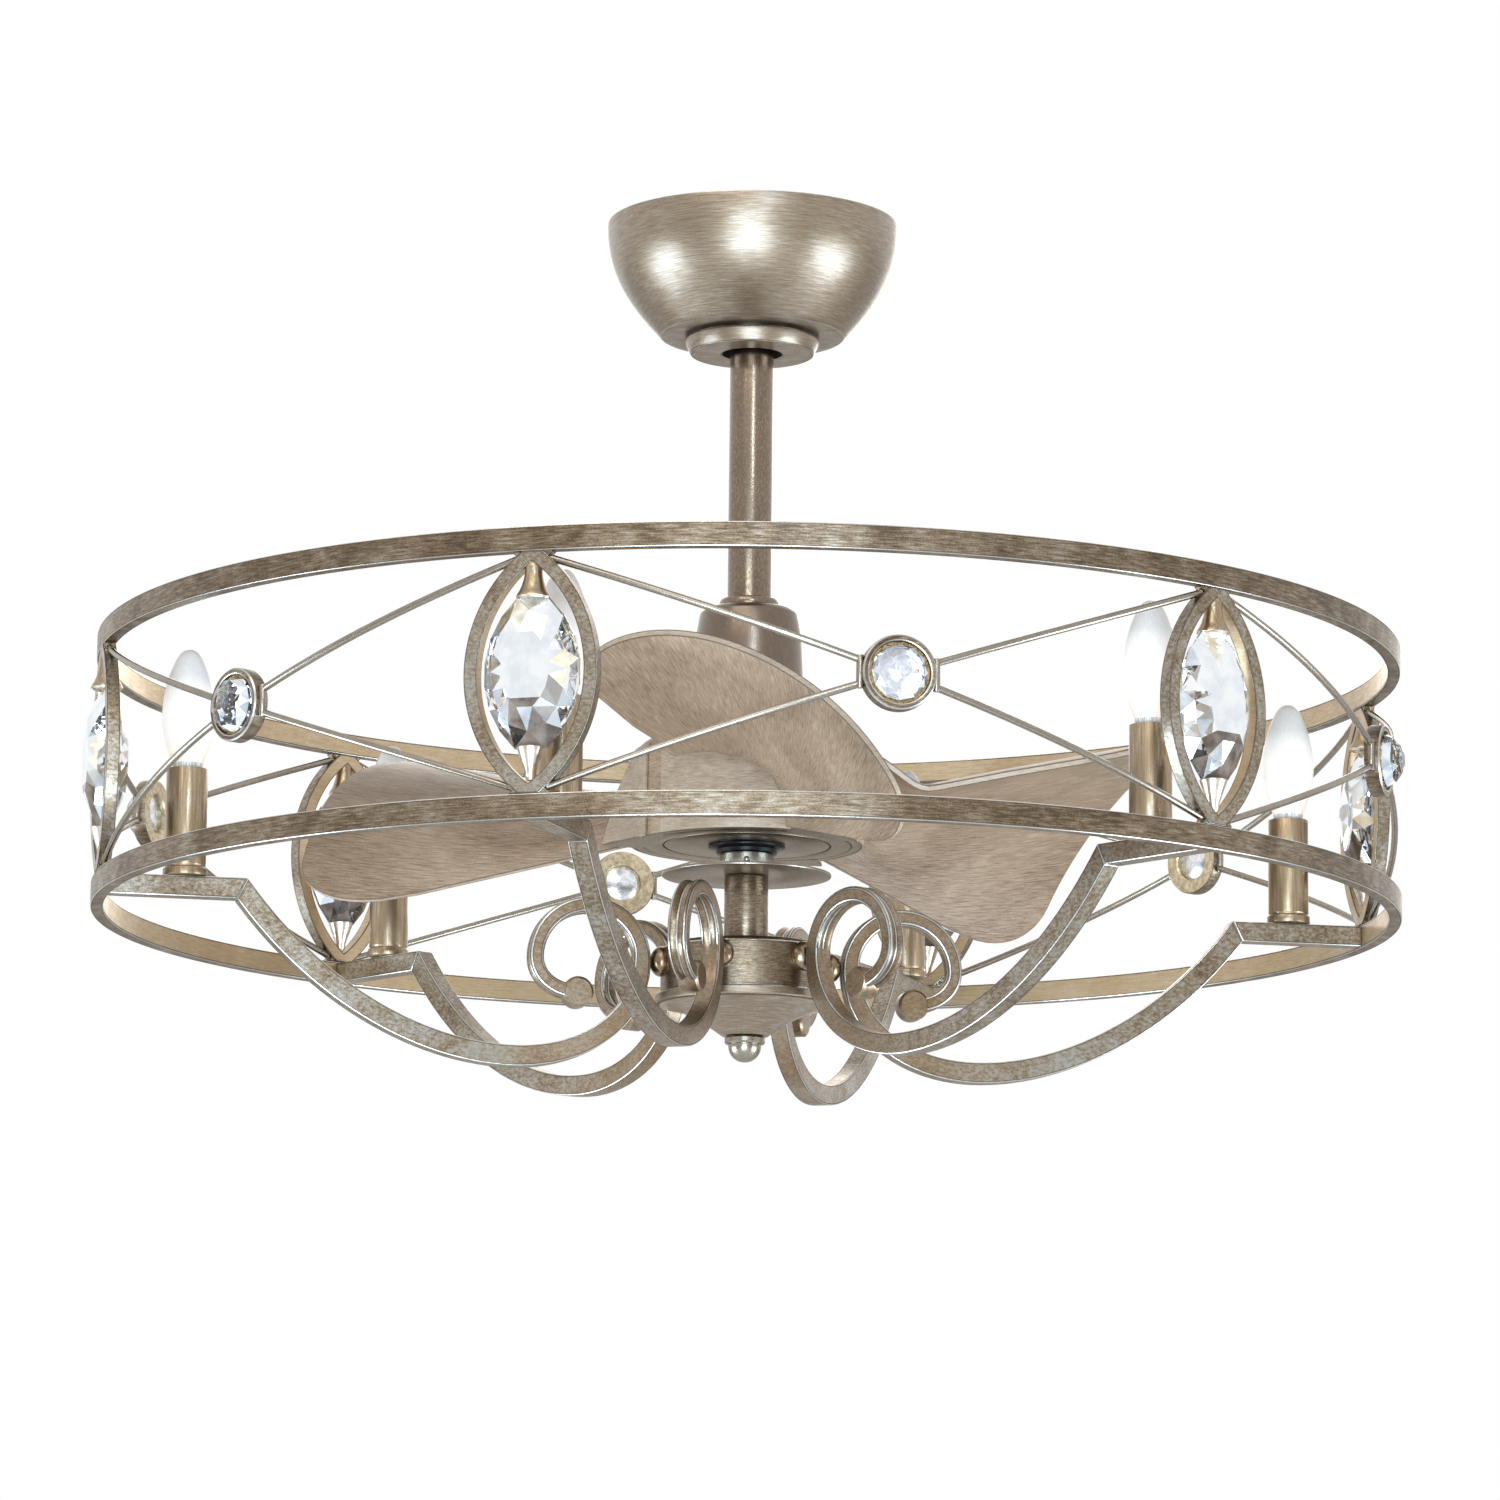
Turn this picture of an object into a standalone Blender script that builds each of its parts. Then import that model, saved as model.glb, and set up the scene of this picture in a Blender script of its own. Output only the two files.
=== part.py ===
"""Chandelier ceiling fan: a three bladed fan inside a jewelled round cage with six candle lights.

Metres, Z up. The ceiling is the plane at height zero and the fan hangs below it.
Angles run from the front (minus Y) toward plus X.
"""
import math

import bmesh
import bpy
from mathutils import Matrix, Vector

# Clearances and mesh fineness
fit_gap = 0.0003
spin_gap = 0.0005
swing_gap = 0.0006
weld_distance = 0.00001
centre_steps = 24
ring_steps = 72
small_steps = 12
bezel_steps = 20
curve_parts = 5
ball_parts = 9
finial_parts = 7
arm_drop_parts = 7
arm_climb_parts = 5
scroll_parts = 8
scroll_end_parts = 4
seat_parts = 4

# Cage rings
ring_outer_radius = 0.400
ring_bar_depth = 0.008
ring_bar_height = 0.0143
ring_spacing = 0.1524
cage_centre_depth = 0.0295
panel_count = 6

# Ceiling bracket and its socket
bracket_plate_thickness = 0.003
bracket_strap_width = 0.025
bracket_strap_thickness = 0.003
bracket_strap_radius = 0.036
bracket_ring_radius = 0.0395
bracket_ring_top_drop = 0.040
bracket_ring_height = 0.008
bracket_overlap = 0.001
tab_width = 0.004
tab_tip_radius = 0.0205

# Hanger ball
ball_radius = 0.0275
ball_centre_drop = 0.030
ball_top_height = 0.017
ball_bottom_height = -0.022
slot_floor_radius = 0.0187

# Canopy and its trim plate
canopy_curve = ((0.0906, 0.0), (0.0906, -0.028), (0.080, -0.047), (0.057, -0.071))
canopy_wall = 0.0016
trim_spigot_radius = 0.0317
trim_spigot_height = 0.004
trim_reveal = 0.0017
trim_top_radius = 0.0416
trim_edge_height = 0.0022
trim_bottom_radius = 0.0382
trim_height = 0.0095
trim_hole_radius = 0.0188

# Downrod
rod_radius = 0.0136
rod_bore_radius = 0.0113
rod_top_above_ball = 0.010
rod_bottom_rise = 0.0313

# Coupling and its cover
coupling_top_rise = 0.087
coupling_height = 0.083
coupling_radius = 0.0178
coupling_top_radius = 0.0150
coupling_cone_height = 0.004
flange_bottom_height = 0.002
flange_height = 0.004
cover_curve = ((0.0207, 0.0), (0.0270, -0.0010), (0.0309, -0.0058), (0.0330, -0.0198),
               (0.0340, -0.0368), (0.0360, -0.0768))
cover_top_rise = 0.0828
cover_wall = 0.0012

# Motor
shaft_radius = 0.008
shaft_bore_radius = 0.005
shaft_top_rise = 0.028
shaft_bottom_depth = 0.0795
core_radius = 0.044
core_top_depth = 0.026
core_bottom_depth = 0.052
winding_radius = 0.036
winding_height = 0.005
magnet_inner_radius = 0.0452
magnet_wall = 0.0040
magnet_height = 0.037
bearing_radius = 0.015
bearing_height = 0.008
rotor_top_drop = 0.326
rotor_top_wall = 0.006
rotor_bearing_rise = 0.002
rotor_curve = ((0.054, 0.0), (0.0615, -0.0018), (0.0665, -0.0055), (0.0692, -0.0105),
               (0.0700, -0.0180), (0.0703, -0.0654))
rotor_recess_radius = 0.0643
base_thickness = 0.0034
base_boss_radius = 0.019
base_boss_height = 0.005
base_groove_radius = 0.0506
base_groove_width = 0.0012
base_groove_depth = 0.0008

# Gland, stem and light plate
gland_top_radius = 0.0236
gland_edge_height = 0.0016
gland_bottom_radius = 0.0187
gland_height = 0.0046
stem_collar_radius = 0.0165
stem_collar_height = 0.0119
stem_socket_depth = 0.0095
stem_neck_radius = 0.010
stem_radius = 0.0135
stem_spigot_radius = 0.008
stem_spigot_height = 0.0075
light_plate_radius = 0.052
light_plate_thickness = 0.0015

# Hub under the stem
hub_top_rise = 0.0112
hub_radius = 0.052
hub_height = 0.0302
hub_bevel = 0.002
hub_wall = 0.0025
hub_lid = 0.003
knob_reach = 0.0080
knob_radius = 0.0095
hub_cone_lip_radius = 0.055
hub_cone_lip_height = 0.005
hub_cone_spigot_height = 0.005
hub_cone_curve = ((0.0525, -0.0062), (0.042, -0.0085), (0.026, -0.0166), (0.014, -0.0247))
finial_stud_radius = 0.003
finial_stud_height = 0.012
finial_disc_radius = 0.0124
finial_disc_height = 0.0046
finial_ball_radius = 0.0101
finial_ball_rise = 0.0010

# Blades
blade_count = 3
blade_thickness = 0.005
blade_start_radius = 0.060
blade_tip_inset = 0.1166
blade_upper_setback = 0.068
blade_lower_setback = 0.077
blade_taper_radius = 0.160
blade_level_depth = 0.0487
blade_upper_slope_share = 0.199
blade_lower_slope_share = -0.212
blade_upper_angle = math.radians(-7.2)
blade_lower_angle = math.radians(38.6)
blade_camber_angle = math.radians(44.7)
blade_upper_taper_angle = math.radians(6.0)
blade_upper_corner_share = 0.40
blade_lower_corner_share = 0.845
blade_columns = 12
blade_rows = 5
skirt_wall = 0.0012
skirt_top_depth = 0.0080
skirt_lead_reach = 0.0532
skirt_lead_angle = math.radians(18.2)
skirt_end_angle = math.radians(78.0)
heel_reach = 0.0192
heel_waist_reach = 0.0095
heel_waist_depth = 0.0305
heel_tip_angle = math.radians(46.0)
heel_start_angle = math.radians(36.0)
heel_end_angle = math.radians(74.0)

# Scrolled arms
arm_bar = 0.0127
arm_width = 0.012
arm_level_drop_past_ring = 0.00015
arm_corner_inset = 0.0884
arm_low_radius = 0.144
arm_low_depth = 0.2008
arm_drop_handle = (-0.044, -0.0584)
arm_low_handle = 0.060
arm_sweep_handle = 0.044
arm_rise_handle = 0.0368
scroll_radius = 0.0328
scroll_centre_depth = 0.1392
scroll_bar = 0.0092
scroll_hub_bar = 0.0104
scroll_end_offset = (0.0068, -0.0212)
scroll_end_handle = 0.0152
scroll_turn_handle = 0.012
scroll_boss_radius = 0.0095
scroll_boss_extra_width = 0.001

# Candles
candle_inset = 0.054
candle_cover_radius = 0.0125
candle_cover_height = 0.0652
candle_foot_radius = 0.0134
candle_foot_height = 0.0042
candle_foot_slope = 0.002
candle_wall = 0.0009
candle_mouth_depth = 0.007
candle_socket_depth = 0.027
bulb_base_radius = 0.0061
bulb_base_clearance = 0.0004
bulb_seat_gap = 0.0003
bulb_neck_radius = 0.0093
bulb_length = 0.0734
bulb_curve = ((0.0, 0.0), (0.0042, -0.0011), (0.0070, -0.0042), (0.0096, -0.0098), (0.0128, -0.0180),
              (0.0150, -0.0275), (0.0160, -0.0390), (0.0153, -0.0500), (0.0134, -0.0585), (0.0108, -0.0655))

# Jewelled panels
frame_width = 0.079
frame_tip_half_width = 0.00581
frame_bar = 0.00775
frame_depth = 0.008
frame_foot_width = 0.024
frame_arc_parts = 6
cap_inner_height = 0.0433
cap_inner_radius = 0.0095
cap_waist_height = 0.0515
cap_waist_radius = 0.0046
cap_outer_height = 0.0605
cap_outer_radius = 0.0044
lower_cap_inner_radius = 0.0078
lower_cap_outer_radius = 0.0034
lower_cap_outer_height = 0.0600
cap_steps = 8
crystal_width = 0.057
crystal_height = 0.100
crystal_thickness = 0.0245
crystal_girdle = 0.002
crystal_step_share = 0.80
crystal_step_depth_share = 0.55
crystal_table_share = 0.36
crystal_arc_parts = 5
bezel_radius = 0.0215
bezel_depth = 0.0095
bezel_rim_width = 0.0036
bezel_rim_depth = 0.0021
bezel_edge = 0.0006
bezel_seat_depth = 0.0060
bezel_lip_width = 0.0030
round_crystal_radius = 0.0146
round_crystal_curve = ((0.0, 0.0), (0.0072, -0.0007), (0.0118, -0.0040), (0.0146, -0.0090))
round_crystal_apex = 0.0100
round_crystal_steps = 12
strap_width = 0.0042
strap_height = 0.0190
strap_depth = 0.0052
strap_inset = 0.0026
strap_overlap = 0.0016
wire_radius = 0.0021
wire_foot_drop = 0.0036
wire_parts = 3
wire_overlap = 0.002

# Heights that follow the turning housing
cage_centre_drop = rotor_top_drop + cage_centre_depth
rod_bottom_drop = rotor_top_drop - rod_bottom_rise
coupling_top_drop = rotor_top_drop - coupling_top_rise
cover_top_drop = rotor_top_drop - cover_top_rise
shaft_top_drop = rotor_top_drop - shaft_top_rise
shaft_bottom_drop = rotor_top_drop + shaft_bottom_depth
core_top_drop = rotor_top_drop + core_top_depth
core_bottom_drop = rotor_top_drop + core_bottom_depth
blade_level_drop = rotor_top_drop + blade_level_depth
arm_low_drop = rotor_top_drop + arm_low_depth
scroll_centre_drop = rotor_top_drop + scroll_centre_depth
hub_top_drop = scroll_centre_drop - hub_top_rise
arm_level_drop = cage_centre_drop + ring_spacing / 2 + arm_level_drop_past_ring

# Finishes: colour, roughness, metallic
silver_finish = ((0.42, 0.37, 0.30), 0.42, 1.0)
wood_finish = ((0.40, 0.30, 0.21), 0.55, 0.0)
black_finish = ((0.02, 0.02, 0.02), 0.5, 0.0)
steel_finish = ((0.55, 0.55, 0.55), 0.35, 1.0)
iron_finish = ((0.18, 0.18, 0.19), 0.5, 0.8)
copper_finish = ((0.45, 0.22, 0.12), 0.45, 0.8)
crystal_finish = ((0.90, 0.93, 0.96), 0.03, 0.0)
glass_finish = ((0.95, 0.93, 0.89), 0.35, 0.0)

fan_name = "chandelier_ceiling_fan"


def turn(angle):
    """A turn about the upright axis."""
    return Matrix.Rotation(angle, 4, "Z")


def even_angle(index, count):
    """The angle of one of several evenly spaced places."""
    return math.tau * index / count


def clear_radius(radius, steps, gap):
    """The corner radius of a bore that clears a round piece of the given radius."""
    return (radius + gap) / math.cos(math.pi / steps)


def curve_points(handles, parts):
    """Evenly stepped points along a cubic curve given by its four handles."""
    places = [Vector(handle) for handle in handles]
    points = []
    for index in range(parts + 1):
        t = index / parts
        s = 1 - t
        point = places[0] * s ** 3 + places[1] * 3 * s * s * t
        points.append(point + places[2] * 3 * s * t * t + places[3] * t ** 3)
    return points


def offset_line(points, distances):
    """The line of points moved to its left by a distance for each point."""
    line = [Vector(point) for point in points]
    last = len(line) - 1
    moved = []
    for index, point in enumerate(line):
        after = (line[min(index + 1, last)] - line[min(index, last - 1)]).normalized()
        before = (line[max(index, 1)] - line[max(index - 1, 0)]).normalized()
        left = Vector((-after.y, after.x))
        side = (left + Vector((-before.y, before.x))).normalized()
        moved.append(point + side * (distances[index] / side.dot(left)))
    return moved


def lowered(points, height):
    """The points of a profile moved to a height."""
    return [(point[0], point[1] + height) for point in points]


def new_collection(name):
    """A collection linked into the scene."""
    group = bpy.data.collections.new(name)
    bpy.context.scene.collection.children.link(group)
    return group


def new_finish(name, look):
    """A plain material from a colour, a roughness and a metallic value."""
    colour, roughness, metallic = look
    material = bpy.data.materials.new(name + "_finish")
    material.use_nodes = True
    shader = material.node_tree.nodes["Principled BSDF"]
    shader.inputs["Base Color"].default_value = (*colour, 1.0)
    shader.inputs["Roughness"].default_value = roughness
    shader.inputs["Metallic"].default_value = metallic
    return material


def placed(name, mesh, look, parent):
    """A named piece of the fan with its own finish."""
    piece = bpy.data.objects.new(name, mesh)
    fan.objects.link(piece)
    if look:
        mesh.materials.clear()
        mesh.materials.append(new_finish(name, look))
    piece.parent = parent
    if parent:
        piece.matrix_parent_inverse = parent.matrix_world.inverted()
    return piece


def turned(name, profile, steps, closed):
    """A working shape turned about the upright axis from a profile."""
    mesh = bpy.data.meshes.new(name)
    count = len(profile)
    edges = [(index, index + 1) for index in range(count - 1)]
    if closed:
        edges.append((count - 1, 0))
    mesh.from_pydata([(point[0], 0.0, point[1]) for point in profile], edges, [])
    shape = bpy.data.objects.new(name, mesh)
    cutters.objects.link(shape)
    screw = shape.modifiers.new("turn", "SCREW")
    screw.axis = "Z"
    screw.angle = math.tau
    screw.steps = steps
    screw.render_steps = steps
    screw.use_merge_vertices = True
    screw.merge_threshold = weld_distance
    screw.use_smooth_shade = True
    return shape


def turned_piece(name, profile, look, parent, steps=centre_steps, closed=True):
    """A named piece turned about the fan's axis, kept with its live turning step."""
    shape = turned(name, profile, steps, closed)
    cutters.objects.unlink(shape)
    fan.objects.link(shape)
    shape.data.materials.append(new_finish(name, look))
    shape.parent = parent
    if parent:
        shape.matrix_parent_inverse = parent.matrix_world.inverted()
    return shape


def box(name, low, high):
    """A working box between two corners."""
    size = Vector(high) - Vector(low)
    centre = (Vector(high) + Vector(low)) / 2
    work = bmesh.new()
    bmesh.ops.create_cube(work, size=1.0, matrix=Matrix.Translation(centre) @ Matrix.Diagonal((*size, 1.0)))
    mesh = bpy.data.meshes.new(name)
    work.to_mesh(mesh)
    work.free()
    shape = bpy.data.objects.new(name, mesh)
    cutters.objects.link(shape)
    return shape


def from_curve(curve, name):
    """A working shape from a curve, with its caps welded."""
    holder = bpy.data.objects.new(name, curve)
    cutters.objects.link(holder)
    bpy.context.view_layer.update()
    graph = bpy.context.evaluated_depsgraph_get()
    mesh = bpy.data.meshes.new_from_object(holder.evaluated_get(graph))
    work = bmesh.new()
    work.from_mesh(mesh)
    bmesh.ops.remove_doubles(work, verts=work.verts, dist=weld_distance)
    bmesh.ops.recalc_face_normals(work, faces=work.faces)
    work.to_mesh(mesh)
    work.free()
    shape = bpy.data.objects.new(name, mesh)
    shape.matrix_world = holder.matrix_world
    cutters.objects.link(shape)
    bpy.data.objects.remove(holder, do_unlink=True)
    return shape


def flat_plate(name, outlines, thickness):
    """A working plate from flat outlines, standing upright with its face to the front."""
    curve = bpy.data.curves.new(name, "CURVE")
    curve.dimensions = "2D"
    curve.fill_mode = "BOTH"
    curve.extrude = thickness / 2
    curve.render_resolution_u = 0
    for outline in outlines:
        spline = curve.splines.new("POLY")
        spline.points.add(len(outline) - 1)
        for place, point in zip(spline.points, outline):
            place.co = (point[0], point[1], 0.0, 1.0)
        spline.use_cyclic_u = True
    shape = from_curve(curve, name)
    shape.data.transform(Matrix.Rotation(math.pi / 2, 4, "X"))
    return shape


def round_wire(name, points, radius):
    """A working round wire along a line of points."""
    curve = bpy.data.curves.new(name, "CURVE")
    curve.dimensions = "3D"
    curve.bevel_depth = radius
    curve.bevel_resolution = 1
    curve.use_fill_caps = True
    curve.render_resolution_u = 0
    spline = curve.splines.new("POLY")
    spline.points.add(len(points) - 1)
    for place, point in zip(spline.points, points):
        place.co = (*point, 1.0)
    return from_curve(curve, name)


def baked(shape):
    """The finished mesh of a working shape; the shape and its steps are removed."""
    bpy.context.view_layer.update()
    graph = bpy.context.evaluated_depsgraph_get()
    mesh = bpy.data.meshes.new_from_object(shape.evaluated_get(graph))
    mesh.transform(shape.matrix_world)
    helpers = [step.object for step in shape.modifiers if step.type == "BOOLEAN"]
    bpy.data.objects.remove(shape, do_unlink=True)
    for helper in helpers:
        bpy.data.objects.remove(helper, do_unlink=True)
    work = bmesh.new()
    work.from_mesh(mesh)
    bmesh.ops.remove_doubles(work, verts=work.verts, dist=weld_distance)
    bmesh.ops.dissolve_degenerate(work, edges=work.edges, dist=weld_distance)
    work.to_mesh(mesh)
    work.free()
    mesh.materials.clear()
    return mesh


def boolean(shape, other, operation):
    """Adds one exact joining or cutting step to a working shape."""
    step = shape.modifiers.new(operation.lower(), "BOOLEAN")
    step.operation = operation
    step.solver = "EXACT"
    step.object = other
    other.hide_render = True
    other.display_type = "WIRE"


def placed_work(name, mesh):
    """A working shape from a finished mesh."""
    shape = bpy.data.objects.new(name, mesh)
    cutters.objects.link(shape)
    return shape


def joined(shape, others):
    """The one solid mesh made of a working shape and others."""
    for other in others:
        boolean(shape, other, "UNION")
    return baked(shape)


def smoothed(mesh):
    """Shades a mesh smooth."""
    for face in mesh.polygons:
        face.use_smooth = True
    return mesh


def ball_arc(radius, centre_height, top, bottom, parts):
    """Profile points on a ball between two heights above its centre."""
    points = []
    for index in range(parts + 1):
        height = top + (bottom - top) * index / parts
        points.append((math.sqrt(radius * radius - height * height), centre_height + height))
    return points


def make_bracket():
    """Ceiling plate, two straps and the socket ring with the tab that stops the ball turning."""
    edge = canopy_curve[0][0] - canopy_wall - fit_gap
    top = -bracket_ring_top_drop
    bottom = top - bracket_ring_height
    plate = turned("bracket_plate", [(0.0, 0.0), (edge, 0.0), (edge, -bracket_plate_thickness),
                                     (0.0, -bracket_plate_thickness)], centre_steps, False)
    centre = -ball_centre_drop
    seat = clear_radius(ball_radius, centre_steps, swing_gap)
    inner = ball_arc(seat, centre, top - centre, bottom - centre, seat_parts)
    outer = [(bracket_ring_radius, top), (bracket_ring_radius, bottom)]
    ring = turned("bracket_ring", outer + inner[::-1], centre_steps, True)
    parts = [ring]
    for side in (-1, 1):
        near = side * bracket_strap_radius
        far = side * (bracket_strap_radius + bracket_strap_thickness)
        low = (min(near, far), -bracket_strap_width / 2, bottom + bracket_overlap)
        high = (max(near, far), bracket_strap_width / 2, -bracket_plate_thickness + bracket_overlap)
        parts.append(box("bracket_strap", low, high))
    low = (-tab_width / 2, tab_tip_radius, bottom + bracket_overlap)
    high = (tab_width / 2, bracket_ring_radius - bracket_overlap, top - bracket_overlap)
    parts.append(box("bracket_tab", low, high))
    return placed("ceiling_bracket", joined(plate, parts), iron_finish, None)


def make_canopy():
    """Bell shaped cover at the ceiling with a round hole in its flat bottom."""
    hole = trim_spigot_radius + fit_gap
    outer = curve_points(canopy_curve, curve_parts)
    outer.append(Vector((hole, canopy_curve[3][1])))
    inner = offset_line(outer, [-canopy_wall] * len(outer))
    inner[0].y = outer[0].y
    return turned_piece("canopy", list(outer) + inner[::-1], silver_finish, None)


def make_trim():
    """Round plate under the canopy, held by a spigot in the canopy's hole."""
    floor = canopy_curve[3][1]
    top = floor - trim_reveal
    profile = [(trim_spigot_radius, floor + trim_spigot_height), (trim_spigot_radius, top),
               (trim_top_radius, top), (trim_top_radius, top - trim_edge_height),
               (trim_bottom_radius, top - trim_height), (trim_hole_radius, top - trim_height),
               (trim_hole_radius, floor + trim_spigot_height)]
    return turned_piece("canopy_trim", profile, silver_finish, None)


def make_ball():
    """Truncated ball with a bore for the rod and one slot for the bracket's tab."""
    centre = -ball_centre_drop
    bore = rod_radius + fit_gap
    profile = ball_arc(ball_radius, centre, ball_top_height, ball_bottom_height, ball_parts)
    profile += [(bore, centre + ball_bottom_height), (bore, centre + ball_top_height)]
    ball = turned("ball", profile, centre_steps, True)
    half = tab_width / 2 + fit_gap
    low = (-half, slot_floor_radius, centre + ball_bottom_height - bracket_overlap)
    high = (half, ball_radius + bracket_overlap, centre + ball_top_height + bracket_overlap)
    boolean(ball, box("ball_slot", low, high), "DIFFERENCE")
    return placed("hanger_ball", smoothed(baked(ball)), iron_finish, swing)


def make_downrod():
    """Steel tube from the ball to the coupling."""
    top = rod_top_above_ball - ball_centre_drop
    profile = [(rod_radius, top), (rod_radius, -rod_bottom_drop),
               (rod_bore_radius, -rod_bottom_drop), (rod_bore_radius, top)]
    return turned_piece("downrod", profile, silver_finish, swing)


def coupling_bottom():
    """Height of the underside of the coupling."""
    return -coupling_top_drop - coupling_height


def make_coupling():
    """Socket for the rod above and the motor shaft below, with a flange for the cover."""
    top = -coupling_top_drop
    bottom = coupling_bottom()
    flange = offset_line(cover_curve, [-cover_wall] * len(cover_curve))[-1][0] - fit_gap
    flange_low = bottom + flange_bottom_height
    flange_top = flange_low + flange_height
    bore = shaft_radius + fit_gap
    seat = -rod_bottom_drop - fit_gap
    sleeve = rod_radius + fit_gap
    profile = [(coupling_top_radius, top), (coupling_radius, top - coupling_cone_height),
               (coupling_radius, flange_top), (flange, flange_top), (flange, flange_low),
               (coupling_radius, flange_low), (coupling_radius, bottom), (bore, bottom),
               (bore, seat), (sleeve, seat), (sleeve, top)]
    return turned_piece("coupling", profile, silver_finish, swing)


def make_coupling_cover():
    """Thin bell shaped cup over the coupling."""
    outer = lowered(cover_curve, -cover_top_drop)
    inner = offset_line(outer, [-cover_wall] * len(outer))
    return turned_piece("coupling_cover", list(outer) + inner[::-1], silver_finish, swing)


def make_stator():
    """Fixed motor core with its windings on the hollow shaft."""
    top = -core_top_drop
    bottom = -core_bottom_drop
    profile = [(shaft_radius, -shaft_top_drop), (shaft_radius, top + winding_height),
               (winding_radius, top + winding_height), (winding_radius, top), (core_radius, top),
               (core_radius, bottom), (winding_radius, bottom), (winding_radius, bottom - winding_height / 2),
               (shaft_radius, bottom - winding_height / 2), (shaft_radius, -shaft_bottom_drop),
               (shaft_bore_radius, -shaft_bottom_drop), (shaft_bore_radius, -shaft_top_drop)]
    return turned_piece("stator", profile, copper_finish, swing)


def rotor_bottom():
    """Height of the underside of the rotor."""
    return -rotor_top_drop + rotor_curve[-1][1]


def make_bearing(name, bottom):
    """One ball bearing on the shaft."""
    bore = shaft_radius + fit_gap
    top = bottom + bearing_height
    profile = [(bearing_radius, top), (bearing_radius, bottom), (bore, bottom), (bore, top)]
    return turned_piece(name, profile, steel_finish, swing)


def make_rotor_shell():
    """Turning motor housing with a flared side and a recess below for its base plate."""
    top = -rotor_top_drop
    bottom = rotor_bottom()
    bore = clear_radius(bearing_radius, centre_steps, fit_gap)
    shelf = bottom + base_thickness + fit_gap
    wall = magnet_inner_radius + magnet_wall + fit_gap
    roof = top - rotor_top_wall
    profile = [(bore, top)] + lowered(rotor_curve, top)
    profile += [(rotor_recess_radius, bottom), (rotor_recess_radius, shelf), (wall, shelf),
                (wall, roof), (bore, roof)]
    return turned_piece("rotor_shell", profile, wood_finish, spin)


def make_rotor_base():
    """Round plate that closes the turning housing from below, with a boss for the bearing."""
    bottom = rotor_bottom()
    top = bottom + base_thickness
    edge = rotor_recess_radius - fit_gap
    bore = clear_radius(bearing_radius, centre_steps, fit_gap)
    groove = base_groove_radius
    roof = bottom + base_groove_depth
    profile = [(edge, top), (edge, bottom), (groove + base_groove_width, bottom),
               (groove + base_groove_width, roof), (groove, roof), (groove, bottom),
               (bore, bottom), (bore, top + base_boss_height), (base_boss_radius, top + base_boss_height),
               (base_boss_radius, top)]
    return turned_piece("rotor_base", profile, silver_finish, spin)


def make_magnet_ring():
    """Ring of magnets inside the turning housing."""
    bottom = rotor_bottom() + base_thickness + fit_gap
    top = bottom + magnet_height
    outer = magnet_inner_radius + magnet_wall
    profile = [(outer, top), (outer, bottom), (magnet_inner_radius, bottom), (magnet_inner_radius, top)]
    return turned_piece("magnet_ring", profile, iron_finish, spin)


def make_gland():
    """Black ring round the shaft under the turning base plate."""
    top = rotor_bottom() - spin_gap
    bore = shaft_radius + fit_gap
    profile = [(gland_top_radius, top), (gland_top_radius, top - gland_edge_height),
               (gland_bottom_radius, top - gland_height), (bore, top - gland_height), (bore, top)]
    return turned_piece("gland", profile, black_finish, swing)


def stem_top():
    """Height of the top of the stem's collar."""
    return rotor_bottom() - spin_gap - gland_height - fit_gap


def make_stem():
    """Tube that carries the lights: collar, neck through the light plate, and a spigot below."""
    top = stem_top()
    collar = top - stem_collar_height
    below = collar - light_plate_thickness - 2 * fit_gap
    bottom = -hub_top_drop + fit_gap
    bore = shaft_radius + fit_gap
    socket = top - stem_socket_depth
    spigot = bottom - stem_spigot_height
    profile = [(0.0, socket), (bore, socket), (bore, top), (stem_collar_radius, top),
               (stem_collar_radius, collar), (stem_neck_radius, collar), (stem_neck_radius, below),
               (stem_radius, below), (stem_radius, bottom), (stem_spigot_radius, bottom),
               (stem_spigot_radius, spigot), (0.0, spigot)]
    return turned_piece("stem", profile, silver_finish, swing, closed=False)


def make_light_plate():
    """Thin round plate held on the stem under the motor."""
    top = stem_top() - stem_collar_height - fit_gap
    bottom = top - light_plate_thickness
    hole = stem_neck_radius + fit_gap
    profile = [(light_plate_radius, top), (light_plate_radius, bottom), (hole, bottom), (hole, top)]
    return turned_piece("light_plate", profile, silver_finish, swing)


def make_hub_body():
    """Round box that carries the six arms, with a knob behind each scroll."""
    top = -hub_top_drop
    bottom = top - hub_height
    hole = stem_spigot_radius + fit_gap
    inner = hub_radius - hub_wall
    profile = [(hole, top), (hub_radius - hub_bevel, top), (hub_radius, top - hub_bevel),
               (hub_radius, bottom), (inner, bottom), (inner, top - hub_lid), (hole, top - hub_lid)]
    body = turned("hub", profile, centre_steps, True)
    work = bmesh.new()
    for index in range(panel_count):
        place = turn(even_angle(index, panel_count)) @ Matrix.Translation((0.0, -hub_radius, -scroll_centre_drop))
        scale = Matrix.Diagonal((knob_radius, knob_reach - fit_gap, knob_radius, 1.0))
        bmesh.ops.create_uvsphere(work, u_segments=8, v_segments=4, radius=1.0, matrix=place @ scale)
    mesh = bpy.data.meshes.new("knobs")
    work.to_mesh(mesh)
    work.free()
    knobs = bpy.data.objects.new("knobs", mesh)
    cutters.objects.link(knobs)
    return placed("hub_body", smoothed(joined(body, [knobs])), silver_finish, swing)


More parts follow.
